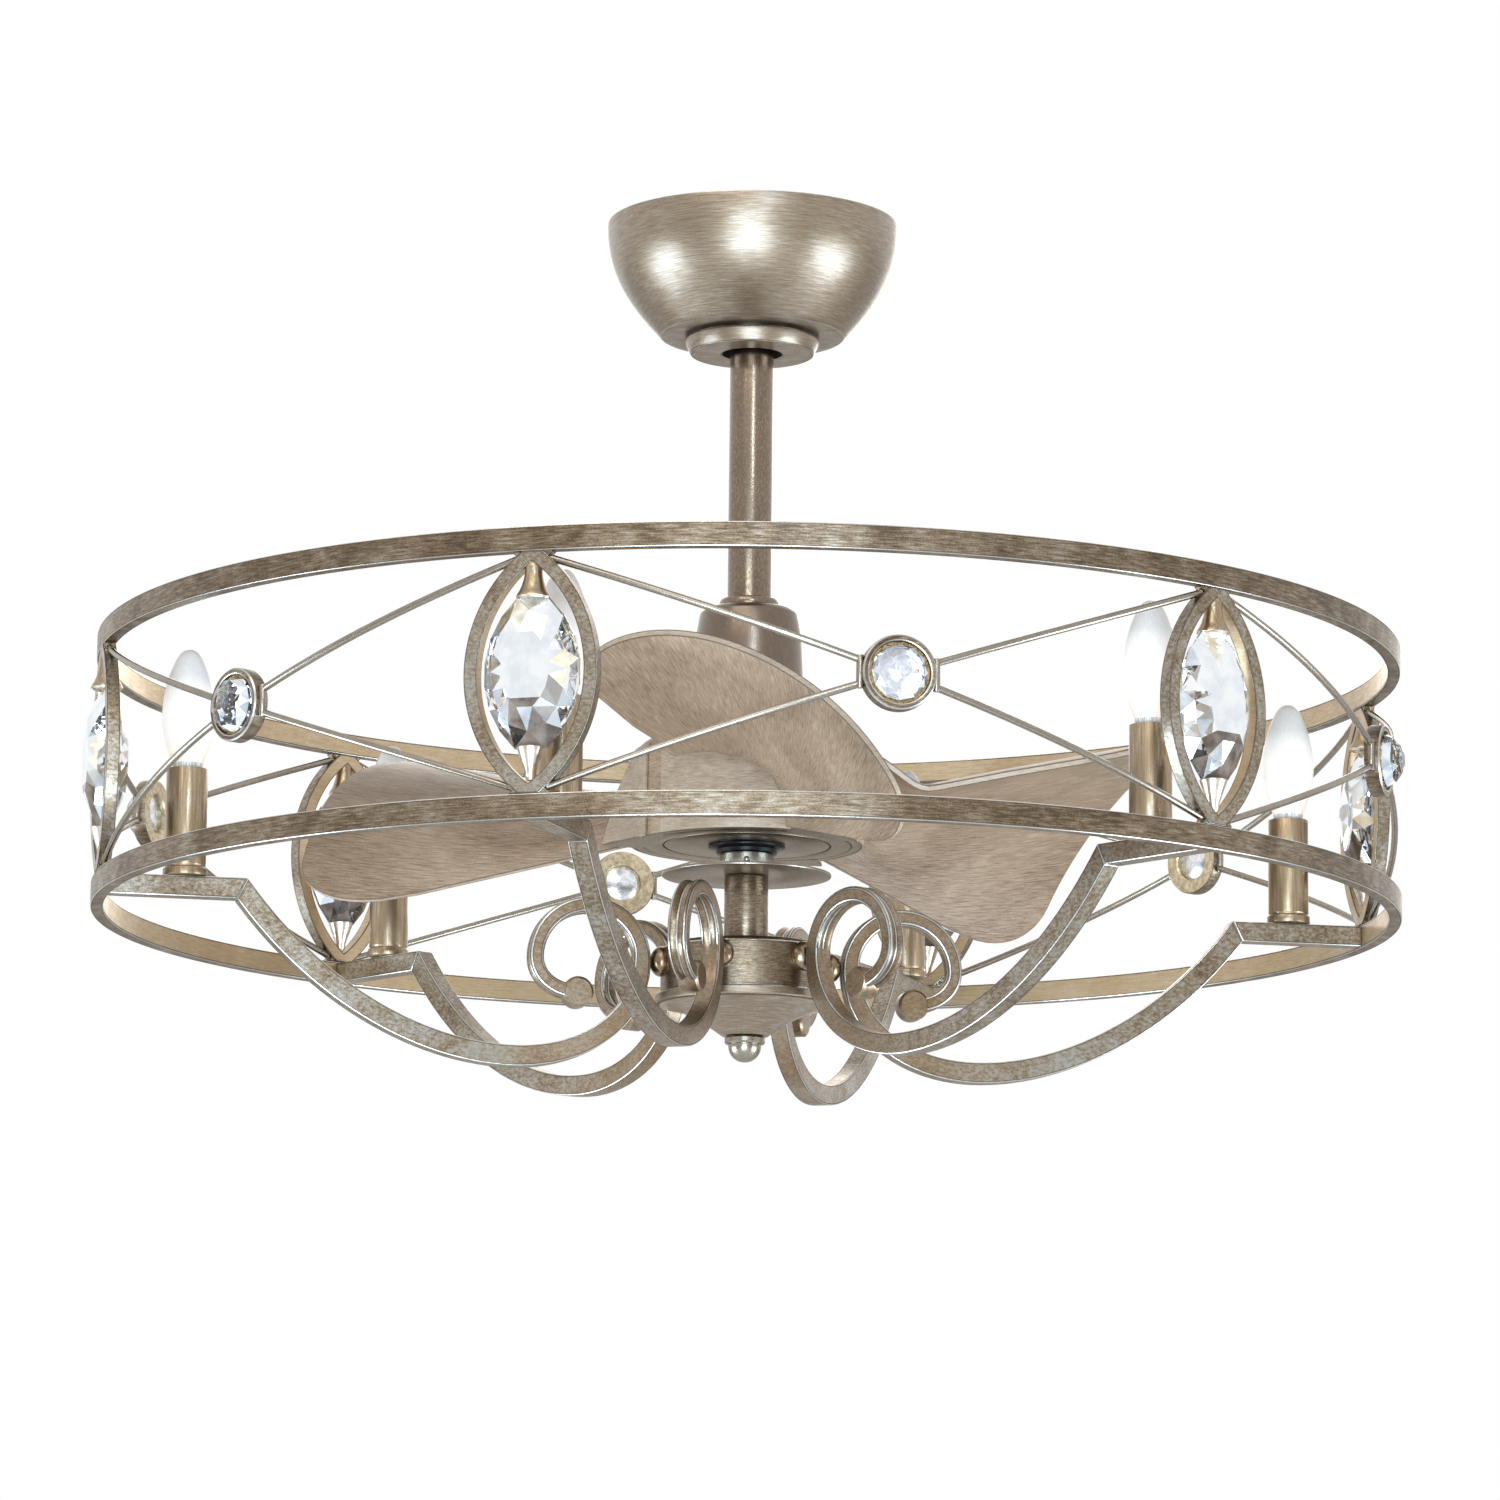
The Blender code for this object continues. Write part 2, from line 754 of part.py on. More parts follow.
def make_hub_cone():
    """Stepped cone that closes the hub from below."""
    top = -hub_top_drop - hub_height - fit_gap
    spigot = hub_radius - hub_wall - fit_gap
    hole = finial_stud_radius + fit_gap
    outer = [(hub_cone_lip_radius, top), (hub_cone_lip_radius, top - hub_cone_lip_height)]
    outer += lowered(hub_cone_curve, top)
    low = outer[-1][1]
    slope = offset_line(outer[2:], [-hub_wall] * (len(outer) - 2))
    inner = [(hole, low), (hole, low + hub_wall)] + slope[-2:0:-1]
    inner += [(spigot - hub_wall, slope[0][1]), (spigot - hub_wall, top + hub_cone_spigot_height)]
    profile = [(spigot, top + hub_cone_spigot_height), (spigot, top)] + outer + inner
    return turned_piece("hub_cone", profile, silver_finish, swing)


def make_finial():
    """Small disc and dome at the very bottom with a stud up into the cone."""
    cone_low = -hub_top_drop - hub_height - fit_gap + hub_cone_curve[-1][1]
    top = cone_low - fit_gap
    disc_low = top - finial_disc_height
    centre = disc_low - finial_ball_rise
    profile = [(0.0, top + finial_stud_height), (finial_stud_radius, top + finial_stud_height),
               (finial_stud_radius, top), (finial_disc_radius, top), (finial_disc_radius, disc_low)]
    profile += ball_arc(finial_ball_radius, centre, finial_ball_rise, -finial_ball_radius, finial_parts)
    return turned_piece("finial", profile, silver_finish, swing, steps=small_steps, closed=False)


def grown_rotor(name, gap, drop):
    """Solid in the shape of the turning housing, larger by a gap and longer below by a drop."""
    grown = offset_line([(0.0, 0.0)] + list(rotor_curve), [gap] * (len(rotor_curve) + 1))
    low = rotor_curve[-1][1] - drop
    profile = [(0.0, gap)] + list(grown[1:-1]) + [(grown[-1].x, low), (0.0, low)]
    return turned(name, lowered(profile, -rotor_top_drop), centre_steps, False)


def blade_section(share):
    """Angle and slope of the blade at a share of the way from its upper to its lower edge."""
    start = Vector((blade_upper_angle, blade_upper_slope_share))
    end = Vector((blade_lower_angle, blade_lower_slope_share))
    chord = end - start
    side = Vector((-chord.y, chord.x))
    turned_by = blade_camber_angle * (2 * share - 1)
    along = 0.5 + math.sin(turned_by) / (2 * math.sin(blade_camber_angle))
    rise = (math.cos(turned_by) - math.cos(blade_camber_angle)) / (2 * math.sin(blade_camber_angle))
    return start + chord * along + side * rise


def blade_reach(share):
    """Radius of the blade's end at a share of the way from its upper to its lower edge."""
    corner = 0.0
    setback = 0.0
    if share < blade_upper_corner_share:
        corner = 1 - share / blade_upper_corner_share
        setback = blade_upper_setback
    if share > blade_lower_corner_share:
        corner = (share - blade_lower_corner_share) / (1 - blade_lower_corner_share)
        setback = blade_lower_setback
    rounding = math.sqrt(max(0.0, 1 - corner * corner))
    return ring_outer_radius - blade_tip_inset - setback * (1 - rounding)


def blade_point(share, along):
    """A point of the blade's middle sheet."""
    angle, slope = blade_section(share)
    reach = blade_start_radius + (blade_reach(share) - blade_start_radius) * along
    inward = max(0.0, (blade_taper_radius - reach) / (blade_taper_radius - blade_start_radius))
    angle += inward * blade_upper_taper_angle * (1 - share)
    return Vector((reach * math.sin(angle), -reach * math.cos(angle), reach * slope - blade_level_drop))


def make_skirt():
    """Band that a blade's root wraps round the turning housing, still solid inside."""
    band = grown_rotor("skirt", fit_gap + skirt_wall, 0.0)
    span = 2 * blade_start_radius
    low = rotor_bottom() - span
    top = -rotor_top_drop - skirt_top_depth
    above = box("above_skirt", (-span, -span, top), (span, span, top + span))
    ahead = box("ahead_of_skirt", (-span, -span, low), (-skirt_lead_reach, span, top + span))
    ahead.matrix_world = turn(skirt_lead_angle)
    behind = box("behind_skirt", (0.0, -span, low), (span, span, top + span))
    behind.matrix_world = turn(skirt_end_angle)
    for cutter in (above, ahead, behind):
        boolean(band, cutter, "DIFFERENCE")
    return band


def make_heel():
    """Flared heel under a blade's lower edge, flat below and level with the housing's underside."""
    wall = rotor_curve[-1][0] + fit_gap
    bottom = rotor_bottom()
    high = -rotor_top_drop - skirt_top_depth
    middle = (heel_start_angle + heel_end_angle) / 2
    corners = [(wall + heel_reach, heel_tip_angle, bottom), (wall + skirt_wall, heel_end_angle, bottom),
               (blade_start_radius, heel_start_angle, bottom), (blade_start_radius, middle, bottom),
               (wall + heel_waist_reach, heel_tip_angle, -rotor_top_drop - heel_waist_depth),
               (wall, heel_tip_angle, high), (blade_start_radius, middle, high)]
    work = bmesh.new()
    for radius, angle, height in corners:
        work.verts.new((radius * math.sin(angle), -radius * math.cos(angle), height))
    bmesh.ops.convex_hull(work, input=work.verts)
    bmesh.ops.recalc_face_normals(work, faces=work.faces)
    mesh = bpy.data.meshes.new("heel")
    work.to_mesh(mesh)
    work.free()
    heel = bpy.data.objects.new("heel", mesh)
    cutters.objects.link(heel)
    return heel


def make_blade_mesh():
    """One cambered blade with its skirt and heel, cut to the turning housing."""
    work = bmesh.new()
    rows = []
    for column in range(blade_columns + 1):
        share = (1 - math.cos(math.pi * column / blade_columns)) / 2
        rows.append([work.verts.new(blade_point(share, row / blade_rows)) for row in range(blade_rows + 1)])
    for first, second in zip(rows, rows[1:]):
        for row in range(blade_rows):
            work.faces.new((first[row], first[row + 1], second[row + 1], second[row]))
    bmesh.ops.recalc_face_normals(work, faces=work.faces)
    mesh = bpy.data.meshes.new("blade_sheet")
    work.to_mesh(mesh)
    work.free()
    sheet = bpy.data.objects.new("blade_sheet", mesh)
    cutters.objects.link(sheet)
    thick = sheet.modifiers.new("thickness", "SOLIDIFY")
    thick.thickness = blade_thickness
    thick.offset = 0.0
    boolean(sheet, make_heel(), "UNION")
    skirt = placed_work("skirt_band", baked(make_skirt()))
    boolean(sheet, skirt, "UNION")
    boolean(sheet, grown_rotor("rotor_cut", fit_gap, base_thickness), "DIFFERENCE")
    return smoothed(baked(sheet))


def make_ring(name, height):
    """One of the two flat hoops of the cage."""
    top = height + ring_bar_height / 2
    bottom = height - ring_bar_height / 2
    inner = ring_outer_radius - ring_bar_depth
    profile = [(ring_outer_radius, top), (ring_outer_radius, bottom), (inner, bottom), (inner, top)]
    return turned_piece(name, profile, silver_finish, swing, steps=ring_steps)


def arm_line():
    """Centre line of an arm from the ring to the scroll's end, with the bar's size at each point."""
    level = -arm_level_drop
    inner = (ring_outer_radius - ring_bar_depth) * math.cos(math.pi / ring_steps) - fit_gap
    centre = Vector((hub_radius + knob_reach + scroll_hub_bar / 2 + scroll_radius, -scroll_centre_drop))
    corner = Vector((ring_outer_radius - arm_corner_inset, level))
    low = Vector((arm_low_radius, -arm_low_drop))
    rise = centre - Vector((scroll_radius, 0.0))
    outer = centre + Vector((scroll_radius, 0.0))
    end = centre + Vector(scroll_end_offset)
    points = [Vector((inner, level)), corner]
    sizes = [arm_bar, arm_bar]
    handles = (corner, corner + Vector(arm_drop_handle), low + Vector((arm_low_handle, 0.0)), low)
    points += curve_points(handles, arm_drop_parts)[1:]
    sizes += [arm_bar] * arm_drop_parts
    handles = (low, low - Vector((arm_sweep_handle, 0.0)), rise - Vector((0.0, arm_rise_handle)), rise)
    points += curve_points(handles, arm_climb_parts)[1:]
    thinning = (scroll_hub_bar - arm_bar) / arm_climb_parts
    sizes += [arm_bar + thinning * (index + 1) for index in range(arm_climb_parts)]
    for index in range(1, scroll_parts):
        angle = even_angle(index, 2 * scroll_parts)
        points.append(centre - Vector((math.cos(angle), -math.sin(angle))) * scroll_radius)
        sizes.append(scroll_hub_bar + (scroll_bar - scroll_hub_bar) * index / scroll_parts)
    handles = (outer, outer - Vector((0.0, scroll_turn_handle)), end + Vector((scroll_end_handle, 0.0)), end)
    points += curve_points(handles, scroll_end_parts)
    sizes += [scroll_bar] * (scroll_end_parts + 1)
    return points, sizes


def make_arm_mesh():
    """One scrolled arm with a round boss at the scroll's end."""
    points, sizes = arm_line()
    left = offset_line(points, [size / 2 for size in sizes])
    right = offset_line(points, [-size / 2 for size in sizes])
    bar = flat_plate("arm_bar", [left + right[::-1]], arm_width)
    end = points[-1]
    half = (arm_width + scroll_boss_extra_width) / 2
    boss = turned("arm_boss", [(0.0, half), (scroll_boss_radius, half), (scroll_boss_radius, -half),
                               (0.0, -half)], small_steps, False)
    boss.matrix_world = Matrix.Translation((end[0], 0.0, end[1])) @ Matrix.Rotation(math.pi / 2, 4, "X")
    mesh = joined(bar, [boss])
    mesh.transform(turn(-math.pi / 2))
    return mesh


def candle_bottom():
    """Height of the underside of the candle covers, on top of the arms."""
    return -arm_level_drop + arm_bar / 2 + fit_gap


def make_cover_mesh():
    """Candle sleeve with its foot ring and the lamp socket inside."""
    bottom = candle_bottom()
    top = bottom + candle_cover_height
    mouth = top - candle_mouth_depth
    inner = candle_cover_radius - candle_wall
    socket = clear_radius(bulb_base_radius, small_steps, bulb_base_clearance)
    profile = [(0.0, top - candle_socket_depth), (socket, top - candle_socket_depth), (socket, mouth),
               (inner, mouth), (inner, top), (candle_cover_radius, top),
               (candle_cover_radius, bottom + candle_foot_height + candle_foot_slope),
               (candle_foot_radius, bottom + candle_foot_height), (candle_foot_radius, bottom),
               (0.0, bottom)]
    shape = turned("cover", profile, small_steps, False)
    return smoothed(baked(shape))


def make_bulb_mesh():
    """Candle shaped glass lamp with its screw base in the socket."""
    top = candle_bottom() + candle_cover_height
    tip = top + bulb_length
    shoulder = top - candle_mouth_depth + bulb_seat_gap
    profile = lowered(bulb_curve, tip)
    profile += [(bulb_neck_radius, top), (bulb_neck_radius, shoulder), (bulb_base_radius, shoulder),
                (bulb_base_radius, top - candle_socket_depth + bulb_seat_gap),
                (0.0, top - candle_socket_depth + bulb_seat_gap)]
    return smoothed(baked(turned("lamp", profile, small_steps, False)))


def frame_half_height():
    """Half of the height of a pointed frame, which fits between the two rings."""
    return (ring_spacing - ring_bar_height) / 2 - fit_gap


def frame_arc():
    """Radius of a frame's sides, which run from its tips to its full width."""
    bulge = frame_width / 2 - frame_tip_half_width
    return (bulge ** 2 + frame_half_height() ** 2) / (2 * bulge)


def pointed_oval(half_width, arc_radius, half_height, foot, parts):
    """Outline of a pointed oval cut off at a half height, with its ends no narrower than a foot."""
    offset = arc_radius - half_width
    reach = math.sqrt(arc_radius * arc_radius - (offset + foot) ** 2)
    reach = min(reach, half_height)
    limit = math.asin(reach / arc_radius)
    squared = foot > 0 and half_height > reach
    side = []
    if squared:
        side.append(Vector((foot, -half_height)))
    for index in range(parts + 1):
        angle = -limit + 2 * limit * index / parts
        side.append(Vector((arc_radius * math.cos(angle) - offset, arc_radius * math.sin(angle))))
    if squared:
        side.append(Vector((foot, half_height)))
    return side + [-point for point in side if foot > 0 or abs(point.x) > weld_distance]


def make_panel_mesh():
    """One pointed frame with its two crystal caps, and the round setting beside it on four wires."""
    half = frame_half_height()
    middle = ring_outer_radius - frame_depth / 2
    arc = frame_arc()
    outer = pointed_oval(frame_width / 2, arc, half, frame_foot_width / 2, frame_arc_parts)
    inner_half = frame_width / 2 - frame_bar
    inner = pointed_oval(inner_half, arc - frame_bar, half, 0.0, frame_arc_parts)
    frame = flat_plate("frame", [outer, inner], frame_depth)
    frame.matrix_world = Matrix.Translation((0.0, -middle, 0.0))
    upper = turned("upper_cap", [(0.0, cap_outer_height), (cap_outer_radius, cap_outer_height),
                                 (cap_waist_radius, cap_waist_height), (cap_inner_radius, cap_inner_height),
                                 (0.0, cap_inner_height)], cap_steps, False)
    lower = turned("lower_cap", [(0.0, -cap_inner_height), (lower_cap_inner_radius, -cap_inner_height),
                                 (lower_cap_outer_radius, -lower_cap_outer_height),
                                 (0.0, -lower_cap_outer_height)], cap_steps, False)
    parts = [upper, lower]
    for cap in parts:
        cap.matrix_world = frame.matrix_world
    beside = turn(math.pi / panel_count)
    setting = turned("setting", bezel_profile(), bezel_steps, True)
    facing = Matrix.Rotation(math.pi / 2, 4, "X")
    setting.matrix_world = beside @ Matrix.Translation((0.0, -middle, 0.0)) @ facing
    parts.append(setting)
    for side in (-1, 1):
        near = side * (bezel_radius - strap_overlap)
        far = side * (bezel_radius - strap_overlap + strap_width)
        low = (min(near, far), -middle - strap_depth / 2, -strap_height / 2)
        high = (max(near, far), -middle + strap_depth / 2, strap_height / 2)
        strap = box("strap", low, high)
        strap.matrix_world = beside
        parts.append(strap)
        for level in (-1, 1):
            parts.append(round_wire("wire", wire_points(side, level, middle), wire_radius))
    mesh = joined(frame, parts)
    mesh.transform(Matrix.Translation((0.0, 0.0, -cage_centre_drop)))
    return mesh


def wire_points(side, level, radius):
    """Line of one wire on the cage's round wall from a frame foot to a setting's strap."""
    between = math.pi / panel_count
    strap = (bezel_radius - strap_overlap + strap_width / 2) / radius
    inner_height = level * (strap_height / 2 - strap_inset)
    foot_height = level * (frame_half_height() - wire_foot_drop)
    foot = frame_foot_width / 2 - wire_overlap
    if side > 0:
        run = between * radius
        lean = math.atan2(abs(foot_height - inner_height), run)
        foot = frame_foot_width / 2 + fit_gap + wire_radius * math.sin(lean)
    start = math.asin(foot / radius)
    end = between - strap
    if side > 0:
        start = 2 * between - start
        end = between + strap
    points = []
    for index in range(wire_parts + 1):
        share = index / wire_parts
        angle = start + (end - start) * share
        height = foot_height + (inner_height - foot_height) * share
        points.append((radius * math.sin(angle), -radius * math.cos(angle), height))
    return points


def bezel_profile():
    """Section of the round setting: rim, recess, crystal bore and back lip."""
    front = bezel_depth / 2
    back = -front
    bore = clear_radius(round_crystal_radius, bezel_steps, fit_gap)
    seat = front - bezel_seat_depth
    lip = bore - bezel_lip_width
    rim = bezel_radius - bezel_rim_width
    recess = front - bezel_rim_depth
    return [(rim, front), (bezel_radius - bezel_edge, front), (bezel_radius, front - bezel_edge),
            (bezel_radius, back), (lip, back), (lip, seat), (bore, seat), (bore, recess), (rim, recess)]


def make_round_crystal_mesh():
    """Domed round crystal that sits on the back lip of its setting."""
    middle = ring_outer_radius - frame_depth / 2
    front = bezel_depth / 2
    apex = front + round_crystal_apex
    profile = lowered(round_crystal_curve, apex)
    back = front - bezel_seat_depth + fit_gap
    profile += [(round_crystal_radius, back), (0.0, back)]
    shape = turned("round_stone", profile, round_crystal_steps, False)
    shape.matrix_world = Matrix.Translation((0.0, -middle, -cage_centre_drop)) @ Matrix.Rotation(math.pi / 2, 4, "X")
    mesh = baked(shape)
    mesh.transform(turn(math.pi / panel_count))
    return mesh


def make_marquise_mesh():
    """Pointed crystal with a girdle, a slanted step and a flat face on both sides."""
    half_width = crystal_width / 2
    half_height = crystal_height / 2
    arc = (half_width ** 2 + half_height ** 2) / crystal_width
    cut = cap_inner_height - fit_gap
    outline = pointed_oval(half_width, arc, cut, 0.0, crystal_arc_parts)
    middle = ring_outer_radius - frame_depth / 2
    half = crystal_thickness / 2
    step = half * crystal_step_depth_share
    levels = [(-half, crystal_table_share), (-step, crystal_step_share), (-crystal_girdle / 2, 1.0),
              (crystal_girdle / 2, 1.0), (step, crystal_step_share), (half, crystal_table_share)]
    work = bmesh.new()
    rings = []
    for depth, share in levels:
        ring = [work.verts.new((point.x * share, depth - middle, point.y * share - cage_centre_drop))
                for point in outline]
        rings.append(ring)
    count = len(outline)
    for first, second in zip(rings, rings[1:]):
        for index in range(count):
            after = (index + 1) % count
            work.faces.new((first[index], first[after], second[after], second[index]))
    work.faces.new(rings[0][::-1])
    work.faces.new(rings[-1])
    bmesh.ops.recalc_face_normals(work, faces=work.faces)
    mesh = bpy.data.meshes.new("pointed_stone")
    work.to_mesh(mesh)
    work.free()
    return mesh


def repeat(name, mesh, look, count, parent, outward):
    """Evenly spaced copies of one mesh round the fan's axis, each set outward by a distance."""
    for index in range(count):
        piece = placed(name + "_" + str(index + 1), mesh, look if index == 0 else None, parent)
        place = turn(even_angle(index, count)) @ Matrix.Translation((0.0, -outward, 0.0))
        piece.matrix_world = place


def new_axis(name, height, parent):
    """An empty on a joint's axis."""
    axis = bpy.data.objects.new(name, None)
    fan.objects.link(axis)
    axis.location = (0.0, 0.0, height)
    axis.parent = parent
    bpy.context.view_layer.update()
    if parent:
        axis.matrix_parent_inverse = parent.matrix_world.inverted()
    bpy.context.view_layer.update()
    return axis


def make_cage():
    """Rings, panels, arms, candles and crystals."""
    middle = -cage_centre_drop
    make_ring("top_ring", middle + ring_spacing / 2)
    make_ring("bottom_ring", middle - ring_spacing / 2)
    repeat("panel", make_panel_mesh(), silver_finish, panel_count, swing, 0.0)
    repeat("arm", make_arm_mesh(), silver_finish, panel_count, swing, 0.0)
    candle_radius = ring_outer_radius - candle_inset
    repeat("candle_cover", make_cover_mesh(), silver_finish, panel_count, swing, candle_radius)
    repeat("bulb", make_bulb_mesh(), glass_finish, panel_count, swing, candle_radius)
    repeat("marquise_crystal", make_marquise_mesh(), crystal_finish, panel_count, swing, 0.0)
    repeat("round_crystal", make_round_crystal_mesh(), crystal_finish, panel_count, swing, 0.0)


for item in list(bpy.data.objects):
    bpy.data.objects.remove(item, do_unlink=True)
fan = new_collection(fan_name)
cutters = new_collection("cutters")
swing = new_axis("hanger_swing_axis", -ball_centre_drop, None)
spin = new_axis("fan_spin_axis", -blade_level_drop, swing)
make_bracket()
make_canopy()
make_trim()
make_ball()
make_downrod()
make_coupling()
make_coupling_cover()
make_stator()
make_bearing("upper_bearing", -rotor_top_drop + rotor_bearing_rise - bearing_height)
make_bearing("lower_bearing", rotor_bottom() + fit_gap)
make_gland()
make_stem()
make_light_plate()
make_hub_body()
make_hub_cone()
make_finial()
make_rotor_shell()
make_rotor_base()
make_magnet_ring()
repeat("blade", make_blade_mesh(), wood_finish, blade_count, spin, 0.0)
make_cage()
bpy.context.view_layer.update()
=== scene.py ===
import math

import bpy
from mathutils import Matrix, Vector


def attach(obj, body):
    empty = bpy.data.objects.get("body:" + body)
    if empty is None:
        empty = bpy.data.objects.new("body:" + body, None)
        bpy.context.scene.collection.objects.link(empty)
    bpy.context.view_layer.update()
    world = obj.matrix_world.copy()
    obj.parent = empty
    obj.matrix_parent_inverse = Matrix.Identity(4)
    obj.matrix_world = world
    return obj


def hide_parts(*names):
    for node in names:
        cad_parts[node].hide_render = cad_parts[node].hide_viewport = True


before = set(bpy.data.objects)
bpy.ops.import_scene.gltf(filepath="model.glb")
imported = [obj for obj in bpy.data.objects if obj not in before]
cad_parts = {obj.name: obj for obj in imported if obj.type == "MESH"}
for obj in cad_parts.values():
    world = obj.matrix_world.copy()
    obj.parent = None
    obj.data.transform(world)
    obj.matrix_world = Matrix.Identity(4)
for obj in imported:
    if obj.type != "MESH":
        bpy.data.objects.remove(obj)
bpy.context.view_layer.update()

# The photograph's camera stands this far round the fan from its front
PHOTO_TURN = math.radians(18.2)

# Cage
RING_RADIUS = 0.400
RING_DEPTH = 0.008
RING_HEIGHT = 0.0143
RING_SPACING = 0.1524
CAGE_HEIGHT = -0.3555
WALL_RADIUS = RING_RADIUS - RING_DEPTH / 2
PLACES = 6
HALF_PLACE = math.pi / PLACES
FIT = 0.0003

# Frames, settings and wires
FRAME_HALF_WIDTH = 0.0395
FRAME_BAR = 0.00775
FRAME_DEPTH = 0.008
FRAME_HALF_HEIGHT = (RING_SPACING - RING_HEIGHT) / 2 - FIT
FRAME_TIP = 0.00581
FRAME_FOOT = 0.012
FOOT_HEIGHT = 0.0046
BEZEL_RADIUS = 0.0215
BEZEL_DEPTH = 0.0095
STONE_RISE = 0.010
STRAP_OVERLAP = 0.0016
STRAP_WIDTH = 0.0042
STRAP_HEIGHT = 0.0190
STRAP_INSET = 0.0026
WIRE_RADIUS = 0.0021
WIRE_FOOT_DROP = 0.0036
STRAP_REACH = BEZEL_RADIUS - STRAP_OVERLAP + STRAP_WIDTH / 2
BEZEL_FACE = BEZEL_DEPTH / 2

# Pointed crystals
CRYSTAL_HALF_WIDTH = 0.0285
CRYSTAL_HALF_HEIGHT = 0.050
CRYSTAL_CUT = 0.043
CRYSTAL_HALF_DEPTH = 0.01225

# Arms
ARM_LEVEL = -0.43185
ARM_BAR = 0.0127
ARM_WIDTH = 0.012
HUB_RADIUS = 0.052
KNOB_REACH = 0.008
SCROLL_RADIUS = 0.0328
SCROLL_LEVEL = -0.4652
SCROLL_BAR = 0.0092
SCROLL_HUB_BAR = 0.0104
CANDLE_RADIUS = 0.346
SLEEVE_FOOT = ARM_LEVEL + ARM_BAR / 2 + FIT
SLEEVE_HEIGHT = 0.0652
LAMP_TIP = SLEEVE_FOOT + SLEEVE_HEIGHT + 0.0734

# Blades
BLADE_LEVEL = -0.3747
BLADE_TIP = 0.2834
BLADE_START = 0.062
BLADE_THICKNESS = 0.0040
BLADES = 3
SKIRT_TOP = -0.334
HOUSING_TOP = -0.326
HOUSING_LOW = -0.3914

# Places and turns that several pieces share
ON_WALL = Matrix.Translation((0.0, -WALL_RADIUS, CAGE_HEIGHT))
AT_CANDLE = Matrix.Translation((0.0, -CANDLE_RADIUS, 0.0))
FACING_OUT = Matrix.Rotation(math.pi / 2, 4, "X")
MERGE_DISTANCE = 0.000004
FINE_RELIEF = 0.0003


def around(angle):
    """A turn about the upright axis."""
    return Matrix.Rotation(angle, 4, "Z")


BETWEEN_FRAMES = around(HALF_PLACE) @ ON_WALL @ FACING_OUT


# Camera

def look_through():
    """The camera at the photograph's place, looking a little up at the fan."""
    bpy.ops.object.camera_add()
    camera = bpy.context.object
    camera.name = "photo_camera"
    camera.data.sensor_width = 36.0
    camera.data.lens = 162.494
    camera.data.clip_end = 100.0
    yaw = math.radians(0.405)
    pitch = math.radians(10.013)
    roll = math.radians(0.60)
    ahead = Vector((math.sin(yaw) * math.cos(pitch), math.cos(yaw) * math.cos(pitch), math.sin(pitch)))
    aim = ahead.to_track_quat("-Z", "Y").to_matrix().to_4x4() @ around(roll)
    stand = around(PHOTO_TURN) @ Matrix.Translation((-0.02764, -4.1018, -1.05576))
    camera.matrix_world = stand @ aim
    bpy.context.scene.camera = camera


# Hand work

def clear():
    """Back to object mode with nothing selected."""
    if bpy.context.mode != "OBJECT":
        bpy.ops.object.mode_set(mode="OBJECT")
    bpy.ops.object.select_all(action="DESELECT")


def pick(*pieces):
    """Selects pieces, the first one active."""
    clear()
    for piece in pieces:
        piece.select_set(True)
    bpy.context.view_layer.objects.active = pieces[0]


def opened():
    """The active piece in edit mode, with all of it selected."""
    bpy.ops.object.mode_set(mode="EDIT")
    bpy.ops.mesh.select_all(action="SELECT")


def closed():
    """From edit mode to object mode, with doubles merged and faces turned outwards."""
    bpy.ops.mesh.select_all(action="SELECT")
    bpy.ops.mesh.remove_doubles(threshold=MERGE_DISTANCE)
    bpy.ops.mesh.normals_make_consistent(inside=False)
    bpy.ops.object.mode_set(mode="OBJECT")


def drawn_out(x, y, z):
    """What is selected in edit mode, extruded by a step."""
    bpy.ops.mesh.extrude_region_move(TRANSFORM_OT_translate={"value": (x, y, z)})


def settled():
    """The active piece with its place, turn and scale in its mesh."""
    bpy.ops.object.transform_apply(location=True, rotation=True, scale=True)


def named(name):
    """The active piece under its own name, with its place in its mesh."""
    if bpy.context.mode != "OBJECT":
        bpy.ops.object.mode_set(mode="OBJECT")
    piece = bpy.context.object
    piece.name = name
    piece.data.name = name
    settled()
    return piece


def placed(piece, place):
    """Moves a piece by a matrix, and leaves its place in its mesh."""
    pick(piece)
    piece.matrix_world = place
    settled()


def numbered(stem, count=PLACES):
    """Names of a piece or a node that repeats."""
    return [stem + "_" + str(index + 1) for index in range(count)]


def joined(*pieces):
    """Several pieces as one, named as the first."""
    pick(*pieces)
    bpy.ops.object.join()
    return pieces[0]


def stepped(piece, kind, **facts):
    """One modifier put on a piece and applied."""
    step = piece.modifiers.new(kind.lower(), kind)
    for key, value in facts.items():
        setattr(step, key, value)
    pick(piece)
    bpy.ops.object.modifier_apply(modifier=step.name)


def slotted(piece, count=3):
    """Empty material slots: the flats, the worn edges with their painted highlight, the dark lines and what
    else a piece needs.
    """
    while len(piece.data.materials) < count:
        piece.data.materials.append(None)


def smooth(piece, angle=35.0):
    """Shaded smooth up to an angle in degrees."""
    pick(piece)
    bpy.ops.object.shade_smooth_by_angle(angle=math.radians(angle))


def softened(piece, width, angle=35.0, slot=-1):
    """Edges past an angle rounded by a bevel in one material slot, and the rest shaded smooth."""
    slotted(piece)
    stepped(piece, "BEVEL", width=width, segments=2, limit_method="ANGLE",
            angle_limit=math.radians(angle), material=slot, miter_outer="MITER_ARC")
    smooth(piece, angle)


